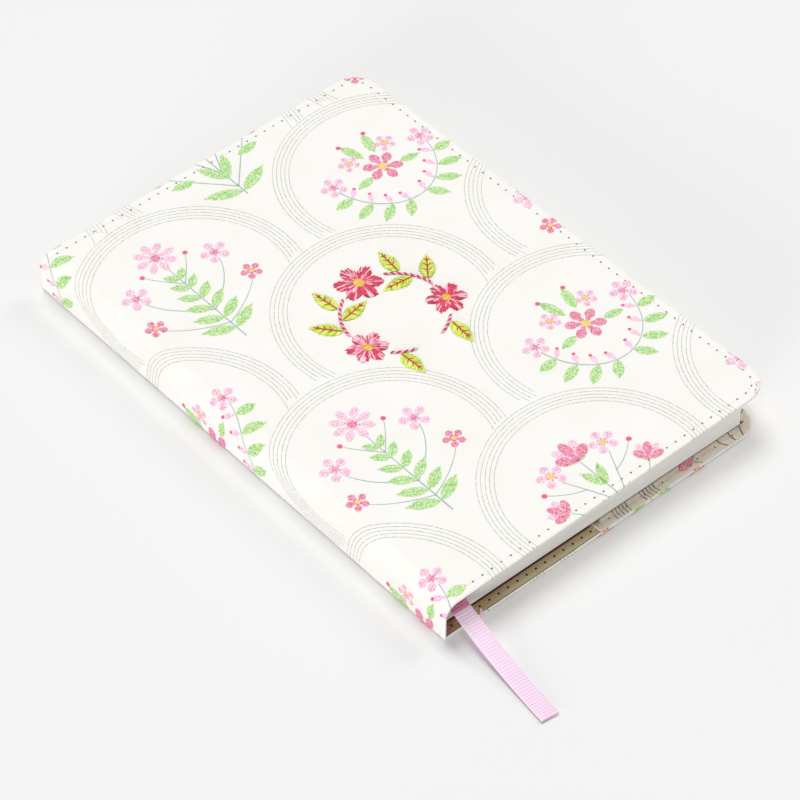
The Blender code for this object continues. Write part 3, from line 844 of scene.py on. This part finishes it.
def makeSection(number, dice):
    node = f"leaf_section_{number}"
    piece = copyMesh(f"leaves_{number}", frame["nodes"][node])
    faceOutwards(piece, doubles=1e-6)
    low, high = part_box(node)
    steps = 2 * leaves["perSection"]
    cuts = [leafPlane((number - 1 + step / steps) / leaves["sections"]) for step in range(1, steps)]
    grooves = cuts[1::2]
    ending = {1: (Vector((spineX, 0, low.z)), Vector((0, 0, 1))),
              leaves["sections"]: (Vector((spineX, 0, leafTop)), -leafPlane(1)[1])}.get(number)
    if ending:
        cuts.append((ending[0] + ending[1] * leaves["endPaper"], ending[1]))
    cuts += xCuts(between(low.x, high.x, leaves["across"])) + yCuts(between(low.y, high.y, leaves["along"]))
    toParting = {leaves["perHalf"]: 1, leaves["perHalf"] + 1: -1}.get(number)
    ribbonX = sum(corner.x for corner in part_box("ribbon_inner")) / 2
    room, fade = leaves["ribbonRoom"], leaves["ribbonFade"]
    if toParting:
        cuts += xCuts(ribbonX + turn * past for past in (room, room + fade) for turn in (-1, 1))
    bisectAt(piece, cuts)
    points = pointsOf(piece)
    if toParting:  # the halves close beside the ribbon
        parting = leafPlane(leaves["perHalf"] / leaves["sections"])
        closing = ease((np.abs(points[:, 0] - ribbonX) - room) / fade) * leaves["close"] * toParting
        points += (nearPlane(points, parting, leaves["parted"]) * closing)[:, None] * np.array(parting[1])
    x, y, edge = points[:, 0], points[:, 1], leaves["edgeNear"]
    atFore, atTail, atHead = x > high.x - edge, y < low.y + edge, y > high.y - edge
    inGroove = np.any([nearPlane(points, plane, leaves["grooveNear"]) for plane in grooves], axis=0)
    wobble = np.array([dice.uniform(0, leaves["uneven"]) for _ in points]) + inGroove * leaves["groove"]
    points[:, 0] -= atFore * wobble
    points[:, 1] += atTail * (wobble - leaves["tailOut"]) - atHead * wobble
    placePoints(piece, points)
    coat(piece, "paper")
    if ending:  # a dark layer at the bottom and top of the leaves: painted shade in the gaps beside the cards, and the cards' dark edge
        coat(piece, "endPaper")
        heights = [(face.center - ending[0]).dot(ending[1]) for face in piece.data.polygons]
        setSlots(piece, np.array(heights) < leaves["endPaper"])
    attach(piece, "back_cover" if number <= leaves["perHalf"] else f"leaves_{number}")
    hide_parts(node)


def makeLeaves():
    dice = random.Random(leaves["seed"])
    for number in range(1, leaves["sections"] + 1):
        makeSection(number, dice)


makeLeaves()
print("leaves ready")


# end card under the leaves

endCard = {"out": 0.55 * mm, "flapSpare": 1 * mm, "shoulder": 0.4 * mm}


def makeEndCard():  # its ends show beside the flap and are narrower in it
    piece = copyMesh("end_card_back", frame["nodes"]["back_card"])
    coat(piece, "card")
    faceOutwards(piece, doubles=1e-6)
    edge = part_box("back_flap")[0].x - endCard["flapSpare"]
    bisectAt(piece, xCuts((edge, edge - endCard["shoulder"])))
    points = pointsOf(piece)
    points[:, 1] += (points[:, 0] < edge - endCard["shoulder"] / 2) * np.sign(points[:, 1]) * endCard["out"]
    placePoints(piece, points)
    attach(piece, "back_cover")
    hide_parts("back_card")


makeEndCard()
print("end card ready")


# print on the skin: thin closed patches of ink

motif = {
    "seed": 23, "pitch": 92 * mm, "row": 54.4 * mm, "centre": (coverPlace(1, 76.8 * mm), 5.35 * mm),
    "rows": range(-4, 5), "columns": range(-5, 4), "room": 60 * mm, "sweep": (-20, 200), "lines": 5,
    "firstRadius": 42.7 * mm, "lineGap": 1.525 * mm, "line": 0.26 * mm, "lineStep": 0.9 * mm,
    "lineSpare": 0.2 * mm, "lineJitter": (0.8, 1.15), "dash": (1.5, 5.0), "gap": (0.12, 0.3),
    "ink": 0.03 * mm, "lift": 0.012 * mm, "layer": 0.008 * mm, "posy": 1.08 * mm,
    "edgeSpare": 3 * mm, "pastEdge": 2.7 * mm, "foldSpare": 0.4 * mm, "flapSpare": 0.25 * mm,
    "flapLine": 1.6, "flapFrom": {1: 24 * mm, -1: 18 * mm},
    "strokeTip": 0.6, "berry": 0.5, "bowWide": 20, "bowDeep": 24, "bowRise": 8,
    "outline": {"sides": 16, "tip": 0.16, "foot": 0.08, "waist": 0.55, "crown": 1.04},
    "leaf": {
        "wide": 1.2, "veins": (0.06, 0.28, 0.5, 0.72), "veinSteps": (0, 0.085, 0.17), "veinWide": 0.3,
        "spots": 0.9, "spotRise": (0.2, 0.82), "spotOut": (0.35, 1), "spotRoom": 0.36,
        "spotSize": (0.34, 0.6),
    },
    "rosette": {
        "size": 1.1, "jitter": 4, "foot": 0.16, "petal": 0.84, "petalWide": 2.5, "petalMore": 0.6,
        "spots": ((0.62, 0), (0.8, 0.08), (0.8, -0.08)), "spot": 0.42,
        "heart": 0.44, "ring": range(20, 380, 60), "ringOut": 0.3,
    },
    "fan": {
        "petals": ((-54, 0.8), (54, 0.8), (-27, 0.98), (27, 0.98), (0, 1)), "pale": 27, "petalWide": 0.4,
        "spotRise": 0.62, "sepals": (-78, 78), "sepal": 0.4, "sepalWide": 0.16,
    },
    # the flaps' print takes painted-shade copies of these inks
    "flapInks": {"scallopInk": "flapInk", "stemInk": "flapInk", "leafInk": "flapLeafInk"},
}
inks = ("scallopInk", "stemInk", "leafInk", "veinInk", "paleInk", "rosyInk", "berryInk", "pollenInk")


def modelOutline(kind):  # one unit long, its foot at the origin
    shape = motif["outline"]
    piece = added(bpy.ops.mesh.primitive_circle_add, vertices=shape["sides"], radius=0.5, fill_type="NGON",
                  location=(0, 0.5, 0))
    applyPlacing()
    startEdit(piece)
    if kind == "leaf":  # drawn out to a point at both ends
        tip, foot = shape["tip"], shape["foot"]
        pick(piece, lambda point: point.y > 0.99)
        bpy.ops.transform.translate(value=(0, tip, 0))
        pick(piece, lambda point: point.y < 0.01)
        bpy.ops.transform.translate(value=(0, -foot, 0))
        bpy.ops.mesh.select_all(action="SELECT")
        bpy.ops.transform.translate(value=(0, foot, 0))
        bpy.ops.transform.resize(value=(1, 1 / (1 + tip + foot), 1), center_override=(0, 0, 0))
    if kind == "petal":  # narrow towards its foot
        pick(piece, lambda point: point.y < 0.4)
        bpy.ops.transform.resize(value=(shape["waist"], 1, 1), center_override=(0, 0, 0))
        pick(piece, lambda point: point.y > 0.6)
        bpy.ops.transform.resize(value=(shape["crown"], 1, 1), center_override=(0, 0, 0))
    endEdit()
    outline = pointsOf(piece)[list(piece.data.polygons[0].vertices)][:, :2]
    discard(piece)
    return outline


outlines = {kind: modelOutline(kind) for kind in ("leaf", "petal", "dot")}


def turned(points, degrees):  # clockwise from straight up
    angle = math.radians(degrees)
    return np.column_stack([points[:, 0] * math.cos(angle) + points[:, 1] * math.sin(angle),
                            points[:, 1] * math.cos(angle) - points[:, 0] * math.sin(angle)])


def spotAt(place, x, y, degrees):
    return turned(np.array([[x, y]]), degrees)[0] + place


def petalAt(sheet, foot, degrees, length, width, ink, kind="petal"):
    sheet.append((ink, turned(outlines[kind] * (width, length), degrees) + foot))


def dotAt(sheet, centre, size, ink):
    sheet.append((ink, (outlines["dot"] - (0, 0.5)) * size + centre))


def strokeAt(sheet, points, width, ink):
    line = np.array(points, float)
    step = np.gradient(line, axis=0)
    step /= np.linalg.norm(step, axis=1)[:, None]
    across = np.column_stack([-step[:, 1], step[:, 0]]) * np.linspace(
        width, width * motif["strokeTip"], len(line))[:, None] / 2
    for first, second, left, right in zip(line, line[1:], across, across[1:]):
        sheet.append((ink, np.array([first - left, second - right, second + right, first + left])))


def stemAt(sheet, width, start, bend, end, steps=8):
    start, bend, end = np.array((start, bend, end), float)
    parts = np.linspace(0, 1, steps + 1)
    line = [start * (1 - part) ** 2 + bend * 2 * part * (1 - part) + end * part * part for part in parts]
    strokeAt(sheet, line, width, "stemInk")


def leafAt(sheet, dice, foot, degrees, length, width):
    leaf = motif["leaf"]
    width *= leaf["wide"]
    petalAt(sheet, foot, degrees, length, width, "leafInk", "leaf")
    for low in leaf["veins"]:  # broken mid-vein
        vein = np.array([[0, (low + step) * length] for step in leaf["veinSteps"]])
        strokeAt(sheet, turned(vein, degrees) + foot, leaf["veinWide"], "veinInk")
    for _ in range(int(length * leaf["spots"])):
        rise = dice.uniform(*leaf["spotRise"])
        room = leaf["spotRoom"] * width * math.sin(math.pi * rise)
        out = dice.choice((-1, 1)) * dice.uniform(*leaf["spotOut"]) * room
        dotAt(sheet, spotAt(foot, out, rise * length, degrees), dice.uniform(*leaf["spotSize"]), "veinInk")


def rosetteAt(sheet, dice, centre, petals, size, petalInk, heartInk):
    rosette = motif["rosette"]
    size *= rosette["size"]
    length, width = size * rosette["petal"], size * rosette["petalWide"] / petals + rosette["petalMore"]
    spotInk = "berryInk" if petalInk == "paleInk" else "paleInk"
    for number in range(petals):
        degrees = 360 * number / petals + dice.uniform(-rosette["jitter"], rosette["jitter"])
        petalAt(sheet, spotAt(centre, 0, rosette["foot"] * size, degrees), degrees, length, width, petalInk)
        for rise, out in rosette["spots"]:
            dotAt(sheet, spotAt(centre, out * size, rise * size, degrees), rosette["spot"], spotInk)
    dotAt(sheet, centre, size * rosette["heart"], heartInk)
    for degrees in rosette["ring"]:
        dotAt(sheet, spotAt(centre, 0, size * rosette["ringOut"], degrees), motif["berry"], "berryInk")


def fanAt(sheet, foot, degrees, size):  # half-open blossom seen from the side
    fan = motif["fan"]
    for lean, length in fan["petals"]:
        petalInk, spotInk = ("paleInk", "berryInk") if abs(lean) == fan["pale"] else ("rosyInk", "pollenInk")
        petalAt(sheet, foot, degrees + lean, size * length, size * fan["petalWide"], petalInk)
        spot = spotAt(foot, 0, fan["spotRise"] * length * size, degrees + lean)
        dotAt(sheet, spot, motif["berry"], spotInk)
    for lean in fan["sepals"]:
        petalAt(sheet, foot, degrees + lean, size * fan["sepal"], size * fan["sepalWide"], "leafInk", "leaf")


def fanPosy(dice):
    sheet = []
    stemAt(sheet, 0.5, (0, -27), (0, -10), (0, 11))
    for way in (-1, 1):
        stemAt(sheet, 0.44, (0, -22), (way * 9, -12), (way * 17, -3))
        stemAt(sheet, 0.44, (0, -13), (way * 5, -2), (way * 10, 8))
        for foot, degrees, length, width in (((0, -25), 66, 14.5, 3.8), ((0, -17), 27, 13, 3.2),
                                             ((way * 9.5, -10), 82, 9.5, 3.0), ((0, -2), 22, 10, 2.8)):
            leafAt(sheet, dice, foot, way * degrees, length, width)
        fanAt(sheet, (way * 17, -3), way * 36, 7.4)
        rosetteAt(sheet, dice, (way * 11, 12), 5, 4.6, "paleInk", "pollenInk")
        stemAt(sheet, 0.34, (way * 6, 0.5), (way * 12, 2), (way * 17.5, 7), 5)
        dotAt(sheet, (way * 18, 7.4), 1.9, "berryInk")
    fanAt(sheet, (0, 11), 0, 9.5)
    return sheet


def daisyFan(dice):
    sheet = []
    stemAt(sheet, 0.5, (0, -28), (0, -8), (0, 15))
    for way in (-1, 1):
        for step, rise in enumerate((-23, -17, -11, -5, 1, 6.5)):
            leafAt(sheet, dice, (0, rise), way * (64 - 4 * step), 12 - 1.2 * step, 3.5 - 0.2 * step)
        stemAt(sheet, 0.42, (0, -12), (way * 13, -4), (way * 16, 6))
        rosetteAt(sheet, dice, (way * 16.5, 9), 5, 4.8, "paleInk", "rosyInk")
        stemAt(sheet, 0.36, (0, -20), (way * 13, -15), (way * 19, -8), 6)
        rosetteAt(sheet, dice, (way * 20, -6), 5, 3.5, "rosyInk", "pollenInk")
        stemAt(sheet, 0.36, (0, 4), (way * 5, 9), (way * 8.5, 14.5), 5)
        dotAt(sheet, (way * 9, 15.4), 1.8, "berryInk")
    rosetteAt(sheet, dice, (0, 20), 8, 6.8, "paleInk", "rosyInk")
    return sheet


def onBow(degrees):
    angle = math.radians(degrees)
    return motif["bowWide"] * math.sin(angle), motif["bowRise"] - motif["bowDeep"] * math.cos(angle)


def budCrescent(dice):
    sheet = []
    strokeAt(sheet, [onBow(degrees) for degrees in range(-78, 79, 6)], 0.45, "stemInk")
    for way in (-1, 1):
        for degrees, length in ((10, 8.5), (28, 9.5), (46, 9.5), (64, 8)):
            foot, lean = onBow(way * degrees), way * (20 - degrees)
            leafAt(sheet, dice, foot, way * (150 - degrees * 0.9), length, 3.2)
            petalAt(sheet, foot, lean, 4.6, 2.0, "paleInk")
            dotAt(sheet, spotAt(foot, 0, 4.8, lean), 1.2, "berryInk")
        rosetteAt(sheet, dice, (way * 19.4, 6), 5, 4.4, "paleInk", "rosyInk")
        rosetteAt(sheet, dice, (way * 8, 11.5), 5, 3.6, "paleInk", "pollenInk")
        leafAt(sheet, dice, (way * 2.5, 10), way * 14, 11, 3.2)
        leafAt(sheet, dice, (way * 6, 1), way * 100, 8, 2.8)
        dotAt(sheet, (way * 5.6, 20), 1.7, "berryInk")
    rosetteAt(sheet, dice, (0, 3), 6, 6.4, "rosyInk", "pollenInk")
    return sheet


posies = (fanPosy, daisyFan, budCrescent)


def scallopLines(sheet, dice, centre):
    others = [centre + (way * motif["pitch"] / 2, -motif["row"]) for way in (-1, 1)]
    clear = motif["firstRadius"] + motif["lineSpare"]
    for number in range(motif["lines"]):
        radius = motif["firstRadius"] - motif["lineGap"] * number
        angle, last = np.radians(motif["sweep"])
        while angle < last:
            sweep = dice.uniform(*motif["dash"]) * mm / radius
            steps = max(2, int(sweep * radius / motif["lineStep"]) + 1)
            along = np.linspace(angle, angle + sweep, steps)
            line = centre + radius * np.column_stack([np.cos(along), np.sin(along)])
            angle += sweep + dice.uniform(*motif["gap"]) * mm / radius
            if all(np.linalg.norm(line - other, axis=1).min() > clear for other in others):
                strokeAt(sheet, line, motif["line"] * dice.uniform(*motif["lineJitter"]), "scallopInk")


def drawPrint():  # every patch of ink on the cut sheet, in metres
    dice = random.Random(motif["seed"])
    sheet, room = [], motif["room"]
    for row, column in ((row, column) for row in motif["rows"] for column in motif["columns"]):
        x = motif["centre"][0] + motif["pitch"] * column - motif["pitch"] / 2 * (row % 2)
        y = motif["centre"][1] + motif["row"] * row
        if abs(y) > halfLength + room or not -reach[-1] - room < x < reach[1] + room:
            continue
        scallopLines(sheet, dice, np.array([x, y]))
        if (row, column) == (0, 0):
            continue  # the embroidery's own place
        slant = (2 * column - row % 2 - row) // 2  # neighbouring arches never hold the same posy
        posy = posies[(slant - row) % 3](dice)
        sheet += [(ink, outline * motif["posy"] + (x, y)) for ink, outline in posy]
    return sheet


def inkNear(patches, low, high, half):
    return [(ink, outline) for ink, outline in patches if low < outline[:, 0].max()
            and outline[:, 0].min() < high and np.abs(outline[:, 1]).min() < half]


def heavier(outline):
    centres = (outline + outline[::-1]) / 2
    return centres + (outline - centres) * motif["flapLine"]


def rimCuts(x, y):  # along the fore edge, the head and the tail
    return xCuts([x]) + yCuts([y, -y])


def inkPiece(name, patches, clears, cuts, isOff, swaps):  # isOff tells which places have no leather
    points, faces, slots = [], [], []
    for ink, outline in patches:
        layer, first = inks.index(ink), len(points)
        points += [(x, y, motif["lift"] + motif["layer"] * layer) for x, y in outline]
        faces.append(tuple(range(first, len(points))))
        slots.append(layer)
    piece = newMesh(name, points, faces)
    coat(piece, *(swaps.get(ink, ink) for ink in inks))
    setSlots(piece, slots)
    for clear in clears:
        bisectAt(piece, [clear], clear_inner=True)
    bisectAt(piece, cuts)
    startEdit(piece)
    bpy.context.tool_settings.mesh_select_mode = (False, False, True)
    endEdit()
    x, y, _ = np.array([face.center for face in piece.data.polygons]).T
    for face, off in zip(piece.data.polygons, isOff(x, y)):
        face.select = bool(off)
    bpy.ops.object.mode_set(mode="EDIT")
    bpy.ops.mesh.delete(type="FACE")
    endEdit()
    thicken(piece, motif["ink"], 1)
    return piece


def printJacket(patches):
    spare = motif["edgeSpare"]
    for side, cover in covers:
        close = inkNear(patches, *sorted((0, side * (reach[side] + spare))), halfLength + spare)
        cuts = xCuts(foldLines(side))
        for past in np.linspace(0, math.pi * roll, jacket["rollSteps"] + 1):
            cuts += rimCuts(side * (reach[side] - roll + past), halfLength - roll + past)
        piece = inkPiece(f"{cover}_print", close, [((0, 0, 0), (side, 0, 0))], cuts,
                         lambda x, y: pastRoll(x, y)[0] > motif["pastEdge"], {})
        placePoints(piece, wrapped(pointsOf(piece)))
        bendWithSpine(piece, side)
        print(piece.name, len(piece.data.polygons), "faces")


def printFlaps(patches):
    spare = flap["edge"] + motif["flapSpare"]
    half = halfLength - spare
    for side, cover in covers:
        low, high = flapStart[side] + motif["foldSpare"], coverWidth[side] - spare
        shift = motif["flapFrom"][side] - flapStart[side]
        close = inkNear([(ink, outline - (shift, 0)) for ink, outline in patches], low, high, half)
        close = [(ink, heavier(outline) if ink == "scallopInk" else outline) for ink, outline in close]
        cuts = []
        for inset in np.linspace(flap["dropEnd"], flap["dropStart"], flap["dropSteps"] + 1) + flap["edge"]:
            cuts += rimCuts(coverWidth[side] - inset, halfLength - inset)
        clears = [((low, 0, 0), (1, 0, 0)), ((high, 0, 0), (-1, 0, 0)),
                  ((0, half, 0), (0, -1, 0)), ((0, -half, 0), (0, 1, 0))]
        piece = inkPiece(f"{cover}_flap_print", close, clears, cuts,
                         lambda x, y: pastRoll(coverPlace(side, x), y)[0] > roll - spare, motif["flapInks"])
        points = pointsOf(piece)
        points[:, 2] = -flapDepth(side, points[:, 0], points[:, 1]) - flap["thick"] - points[:, 2]
        placeOnCover(piece, side, points)
        faceOutwards(piece)
        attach(piece, f"{cover}_cover")


patches = drawPrint()
printJacket(patches)
printFlaps(patches)
print("print ready")


# raised embroidery: satin stitch, one strand modelled once and copied

wreath = {
    "seed": 31, "centre": (76.7 * mm, 3 * mm), "radius": 19.5 * mm, "stemHalf": 0.7 * mm, "gap": 0.3 * mm,
    "petals": 6, "topSize": 9.5 * mm, "sideSize": 8.0 * mm, "sideDegrees": -20, "endDegrees": -74,
    "pale": {"top": 0.26, "right": 0.36, "left": 0.55},
    "leafLength": 12.5 * mm, "leafWidth": 5.6 * mm, "leafLean": 52,
    "leafPlaces": (  # round the stem, out of it, along it
        (46, 1, 90), (30, -1, 90), (14, 1, 90), (-55, 1, -90),
    ),
    "strand": 0.6 * mm, "height": 0.6 * mm, "base": 0.04 * mm, "rowsApart": 0.8, "shortest": 0.4 * mm,
    "strandSides": 6, "strandCuts": (0.125, 0.35, 0.65, 0.875), "strandTaper": 0.5,
    "twist": 1.15 * mm, "twistOut": 0.42 * mm, "twistTones": (0.86, 0.02), "twistSpread": (-0.02, 0.1),
    "blossom": {
        "apart": 0.9, "lobe": 0.7, "notch": 0.48, "ragged": (0.88, 1.02), "puff": 0.35, "bow": 0.3,
        "inner": 0.2, "split": (0.48, 0.64), "overlap": 0.7 * mm, "innerLifts": (0.35, 0.5),
        "outerLifts": (0.45, 0), "pale": (0.82, 1.0), "deep": (0.0, 0.5), "heart": 0.23,
        "heartTone": (0.2, 0.9),
    },
    "leaf": {
        "forward": 0.12, "tip": 0.99, "root": 0.92, "shape": 0.8, "lengths": (1.16, 0.98, 0.8),
        "ragged": (0.95, 1.03), "tones": (0.15, 0.4, 0.55, 0.9), "toneSpread": 0.08, "veinTone": (0, 0.2),
        "veins": ((0.0, 0.3), (0.27, 0.58), (0.55, 0.86)), "sideVeins": (0.28, 0.48, 0.66), "sideVein": 0.6,
    },
    "sizes": {  # width, height and bow of each kind of strand
        "petal": (0.66, 0.26, 0), "heart": (0.57, 0.2, 0.22), "leaf": (0.6, 0.24, 0.14),
        "vein": (0.5, 0.24, 0.04), "sideVein": (0.42, 0.2, 0.04), "stem": (0.78, 0.34, 0.24),
    },
    "lifts": {  # of its start and end
        "heart": (0.22, 0.22), "leaf": (0.2, 0), "vein": (0.4, 0.4), "sideVein": (0.4, 0.34),
        "stem": (0.04, 0.04),
    },
    "threads": {
        "blossom_thread": ("blossomThread", "pollenThread"), "leaf_thread": ("leafThread", "blossomThread"),
    },
}


def modelStrand():  # from the origin, lying on it
    piece = modelThread(wreath["strandSides"], 0.5, wreath["strandCuts"])
    points = pointsOf(piece)
    slim = 1 - wreath["strandTaper"] * np.abs(2 * points[:, 0] - 1) ** 4
    points[:, 1] *= slim
    points[:, 2] = (points[:, 2] + 0.5) * slim
    placePoints(piece, points)
    return piece


def strand(kind, start, end, tone, slot=0, lifts=None, puff=0):
    width, height, bow = (size * mm for size in wreath["sizes"][kind])
    lifts = lifts or [lift * mm for lift in wreath["lifts"][kind]]
    start, end = (np.array([*place, wreath["base"] + lift]) for place, lift in zip((start, end), lifts))
    return start, end, width, height, bow + puff, tone, slot


def strandPoints(model, start, end, width, height, bow):
    ahead = end - start
    across = np.array([-ahead[1], ahead[0], 0]) / np.hypot(ahead[0], ahead[1])
    along = model[:, :1]
    found = start + along * ahead + across * model[:, 1:2] * width
    found[:, 2] += model[:, 2] * height + bow * (1 - (2 * along[:, 0] - 1) ** 2)
    return found


def addEmbroidery(model, name, strands, slotName="blossom_thread"):
    *shapes, tones, slots = zip(*strands)
    placed = [strandPoints(pointsOf(model), *shape) for shape in zip(*shapes)]
    piece = joinCopies(f"satin_{name}", model, placed, tones)
    placeOnCover(piece, 1, pointsOf(piece))
    finishPiece(piece, 70, *wreath["threads"][slotName])
    setSlots(piece, np.repeat(slots, len(model.data.polygons)))
    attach(piece, "front_cover")
    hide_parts(f"embroidered_{name}")


def blossomStrands(dice, centre, size, pale):
    found, blossom = [], wreath["blossom"]
    notch, flat = blossom["notch"], blossom["puff"]
    count = int(2 * math.pi * size * blossom["apart"] / wreath["strand"])
    for number in range(count):
        angle = 2 * math.pi * number / count
        lobe = abs(math.cos(wreath["petals"] * angle / 2)) ** blossom["lobe"]
        reachOut = size * (notch + (1 - notch) * lobe) * dice.uniform(*blossom["ragged"])
        way = np.array([math.sin(angle), math.cos(angle)])
        puff = wreath["height"] * (flat + (1 - flat) * lobe)
        split = reachOut * dice.uniform(*blossom["split"])
        for low, high, lifts in ((blossom["inner"] * size, split + blossom["overlap"], blossom["innerLifts"]),
                                 (split, reachOut, blossom["outerLifts"])):
            tone = dice.uniform(*blossom["pale" if dice.random() < pale else "deep"])
            found.append(strand("petal", centre + way * low, centre + way * high, tone,
                                lifts=[puff * lift for lift in lifts], puff=puff * blossom["bow"]))
    heart = size * blossom["heart"]
    rows = int(2 * heart / (wreath["strand"] * wreath["rowsApart"]))
    for row in range(rows):
        offset = -heart + 2 * heart * (row + 0.5) / rows
        half = math.sqrt(heart**2 - offset**2)
        start, end = centre + (-half, offset), centre + (half, offset)
        found.append(strand("heart", start, end, dice.uniform(*blossom["heartTone"]), 1))
    return found


def leafStrands(dice, foot, degrees):
    found, leaf, angle = [], wreath["leaf"], math.radians(degrees)
    length, spread = wreath["leafLength"], leaf["toneSpread"]
    ahead = np.array([math.cos(angle), math.sin(angle)])
    across = np.array([-ahead[1], ahead[0]])

    def at(rise, out=0):
        return foot + ahead * length * rise + across * out

    def halfWidth(rise):
        return math.sin(math.pi * rise ** leaf["shape"]) * wreath["leafWidth"] / 2

    rows = int(length / (wreath["strand"] * wreath["rowsApart"]))
    for way, row in ((way, row) for way in (1, -1) for row in range(rows)):
        rise = (row + 0.5) / rows
        edge = min(rise + leaf["forward"] * (1 - rise), leaf["tip"])
        half = halfWidth(edge) * leaf["lengths"][row % 3] * dice.uniform(*leaf["ragged"])
        start, end = at(rise * leaf["root"]), at(edge, way * half)
        if np.linalg.norm(end - start) >= wreath["shortest"]:
            tone = dice.choice(leaf["tones"]) + dice.uniform(-spread, spread)
            found.append(strand("leaf", start, end, tone))
    for low, high in leaf["veins"]:  # red mid-vein over the satin
        found.append(strand("vein", at(low), at(high), dice.uniform(*leaf["veinTone"]), 1))
    for rise, way in ((rise, way) for rise in leaf["sideVeins"] for way in (1, -1)):
        tip = rise + leaf["forward"]
        end = at(tip, way * halfWidth(tip) * leaf["sideVein"])
        found.append(strand("sideVein", at(rise), end, dice.uniform(*leaf["veinTone"]), 1))
    return found


def wreathPoint(degrees, radius, mirror):
    angle = math.radians(degrees)
    return wreath["centre"] + radius * np.array([mirror * math.cos(angle), math.sin(angle)])


def stemStrands(dice, first, last, mirror):
    found = []
    radius, out = wreath["radius"], wreath["twistOut"]
    count = int(math.radians(last - first) * radius / wreath["twist"])
    half = math.degrees(wreath["twist"] / radius)
    for number in range(count):
        middle = first + (last - first) * (number + 0.5) / count
        start = wreathPoint(max(middle - half, first), radius - out, mirror)
        end = wreathPoint(min(middle + half, last), radius + out, mirror)
        tone = wreath["twistTones"][number % 2] + dice.uniform(*wreath["twistSpread"])
        found.append(strand("stem", start, end, tone))
    return found


def embroider():
    dice = random.Random(wreath["seed"])
    model = modelStrand()
    radius, gap, low = wreath["radius"], wreath["gap"], wreath["sideDegrees"]
    topHalf, sideHalf = (math.degrees((wreath[size] + gap) / radius) for size in ("topSize", "sideSize"))
    top = wreathPoint(90, radius, 1)
    addEmbroidery(model, "top_blossom", blossomStrands(dice, top, wreath["topSize"], wreath["pale"]["top"]))
    for side, mirror in (("right", 1), ("left", -1)):
        centre = wreathPoint(low, radius, mirror)
        petals = blossomStrands(dice, centre, wreath["sideSize"], wreath["pale"][side])
        addEmbroidery(model, f"{side}_blossom", petals)
        addEmbroidery(model, f"{side}_stem", stemStrands(dice, low + sideHalf, 90 - topHalf, mirror))
        stemEnd = stemStrands(dice, wreath["endDegrees"], low - sideHalf, mirror)
        addEmbroidery(model, f"{side}_stem_end", stemEnd)
        for number, (angle, outward, along) in enumerate(wreath["leafPlaces"], 1):
            foot = wreathPoint(angle, radius + outward * (wreath["stemHalf"] + gap), mirror)
            lean = angle + along - math.copysign(wreath["leafLean"], along) * outward
            lean = lean if mirror > 0 else 180 - lean
            addEmbroidery(model, f"{side}_leaf_{number}", leafStrands(dice, foot, lean), "leaf_thread")
    discard(model)


embroider()
print("embroidery ready")


# boards inside the covers

board = {
    "inset": 5 * mm, "start": 6.3 * mm, "depth": 0.75 * mm, "thick": 0.5 * mm, "round": 0.12 * mm,
    "corner": 5 * mm,
}


def makeBoards():
    for side, cover in covers:
        piece = flatSheet(f"{cover}_stiffener", board["start"], coverWidth[side] - board["inset"],
                          halfLength - board["inset"], board["corner"])
        thicken(piece, board["thick"])
        roundEdges(piece, board["round"], 2)
        points = pointsOf(piece)
        points[:, 2] -= board["depth"]
        placeOnCover(piece, side, points)
        finishPiece(piece, 40, "board")
        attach(piece, f"{cover}_cover")
        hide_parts(f"{cover}_board")


makeBoards()
print("boards ready")


# pieces kept from the frame

kept = {
    "card": ("front_card",),
    "cloth": ("back_spine_cloth", "front_spine_cloth"),
}
for paint, nodes in kept.items():
    for node in nodes:
        mesh = frame["nodes"][node].data
        mesh.materials.clear()
        mesh.materials.append(paints[paint])
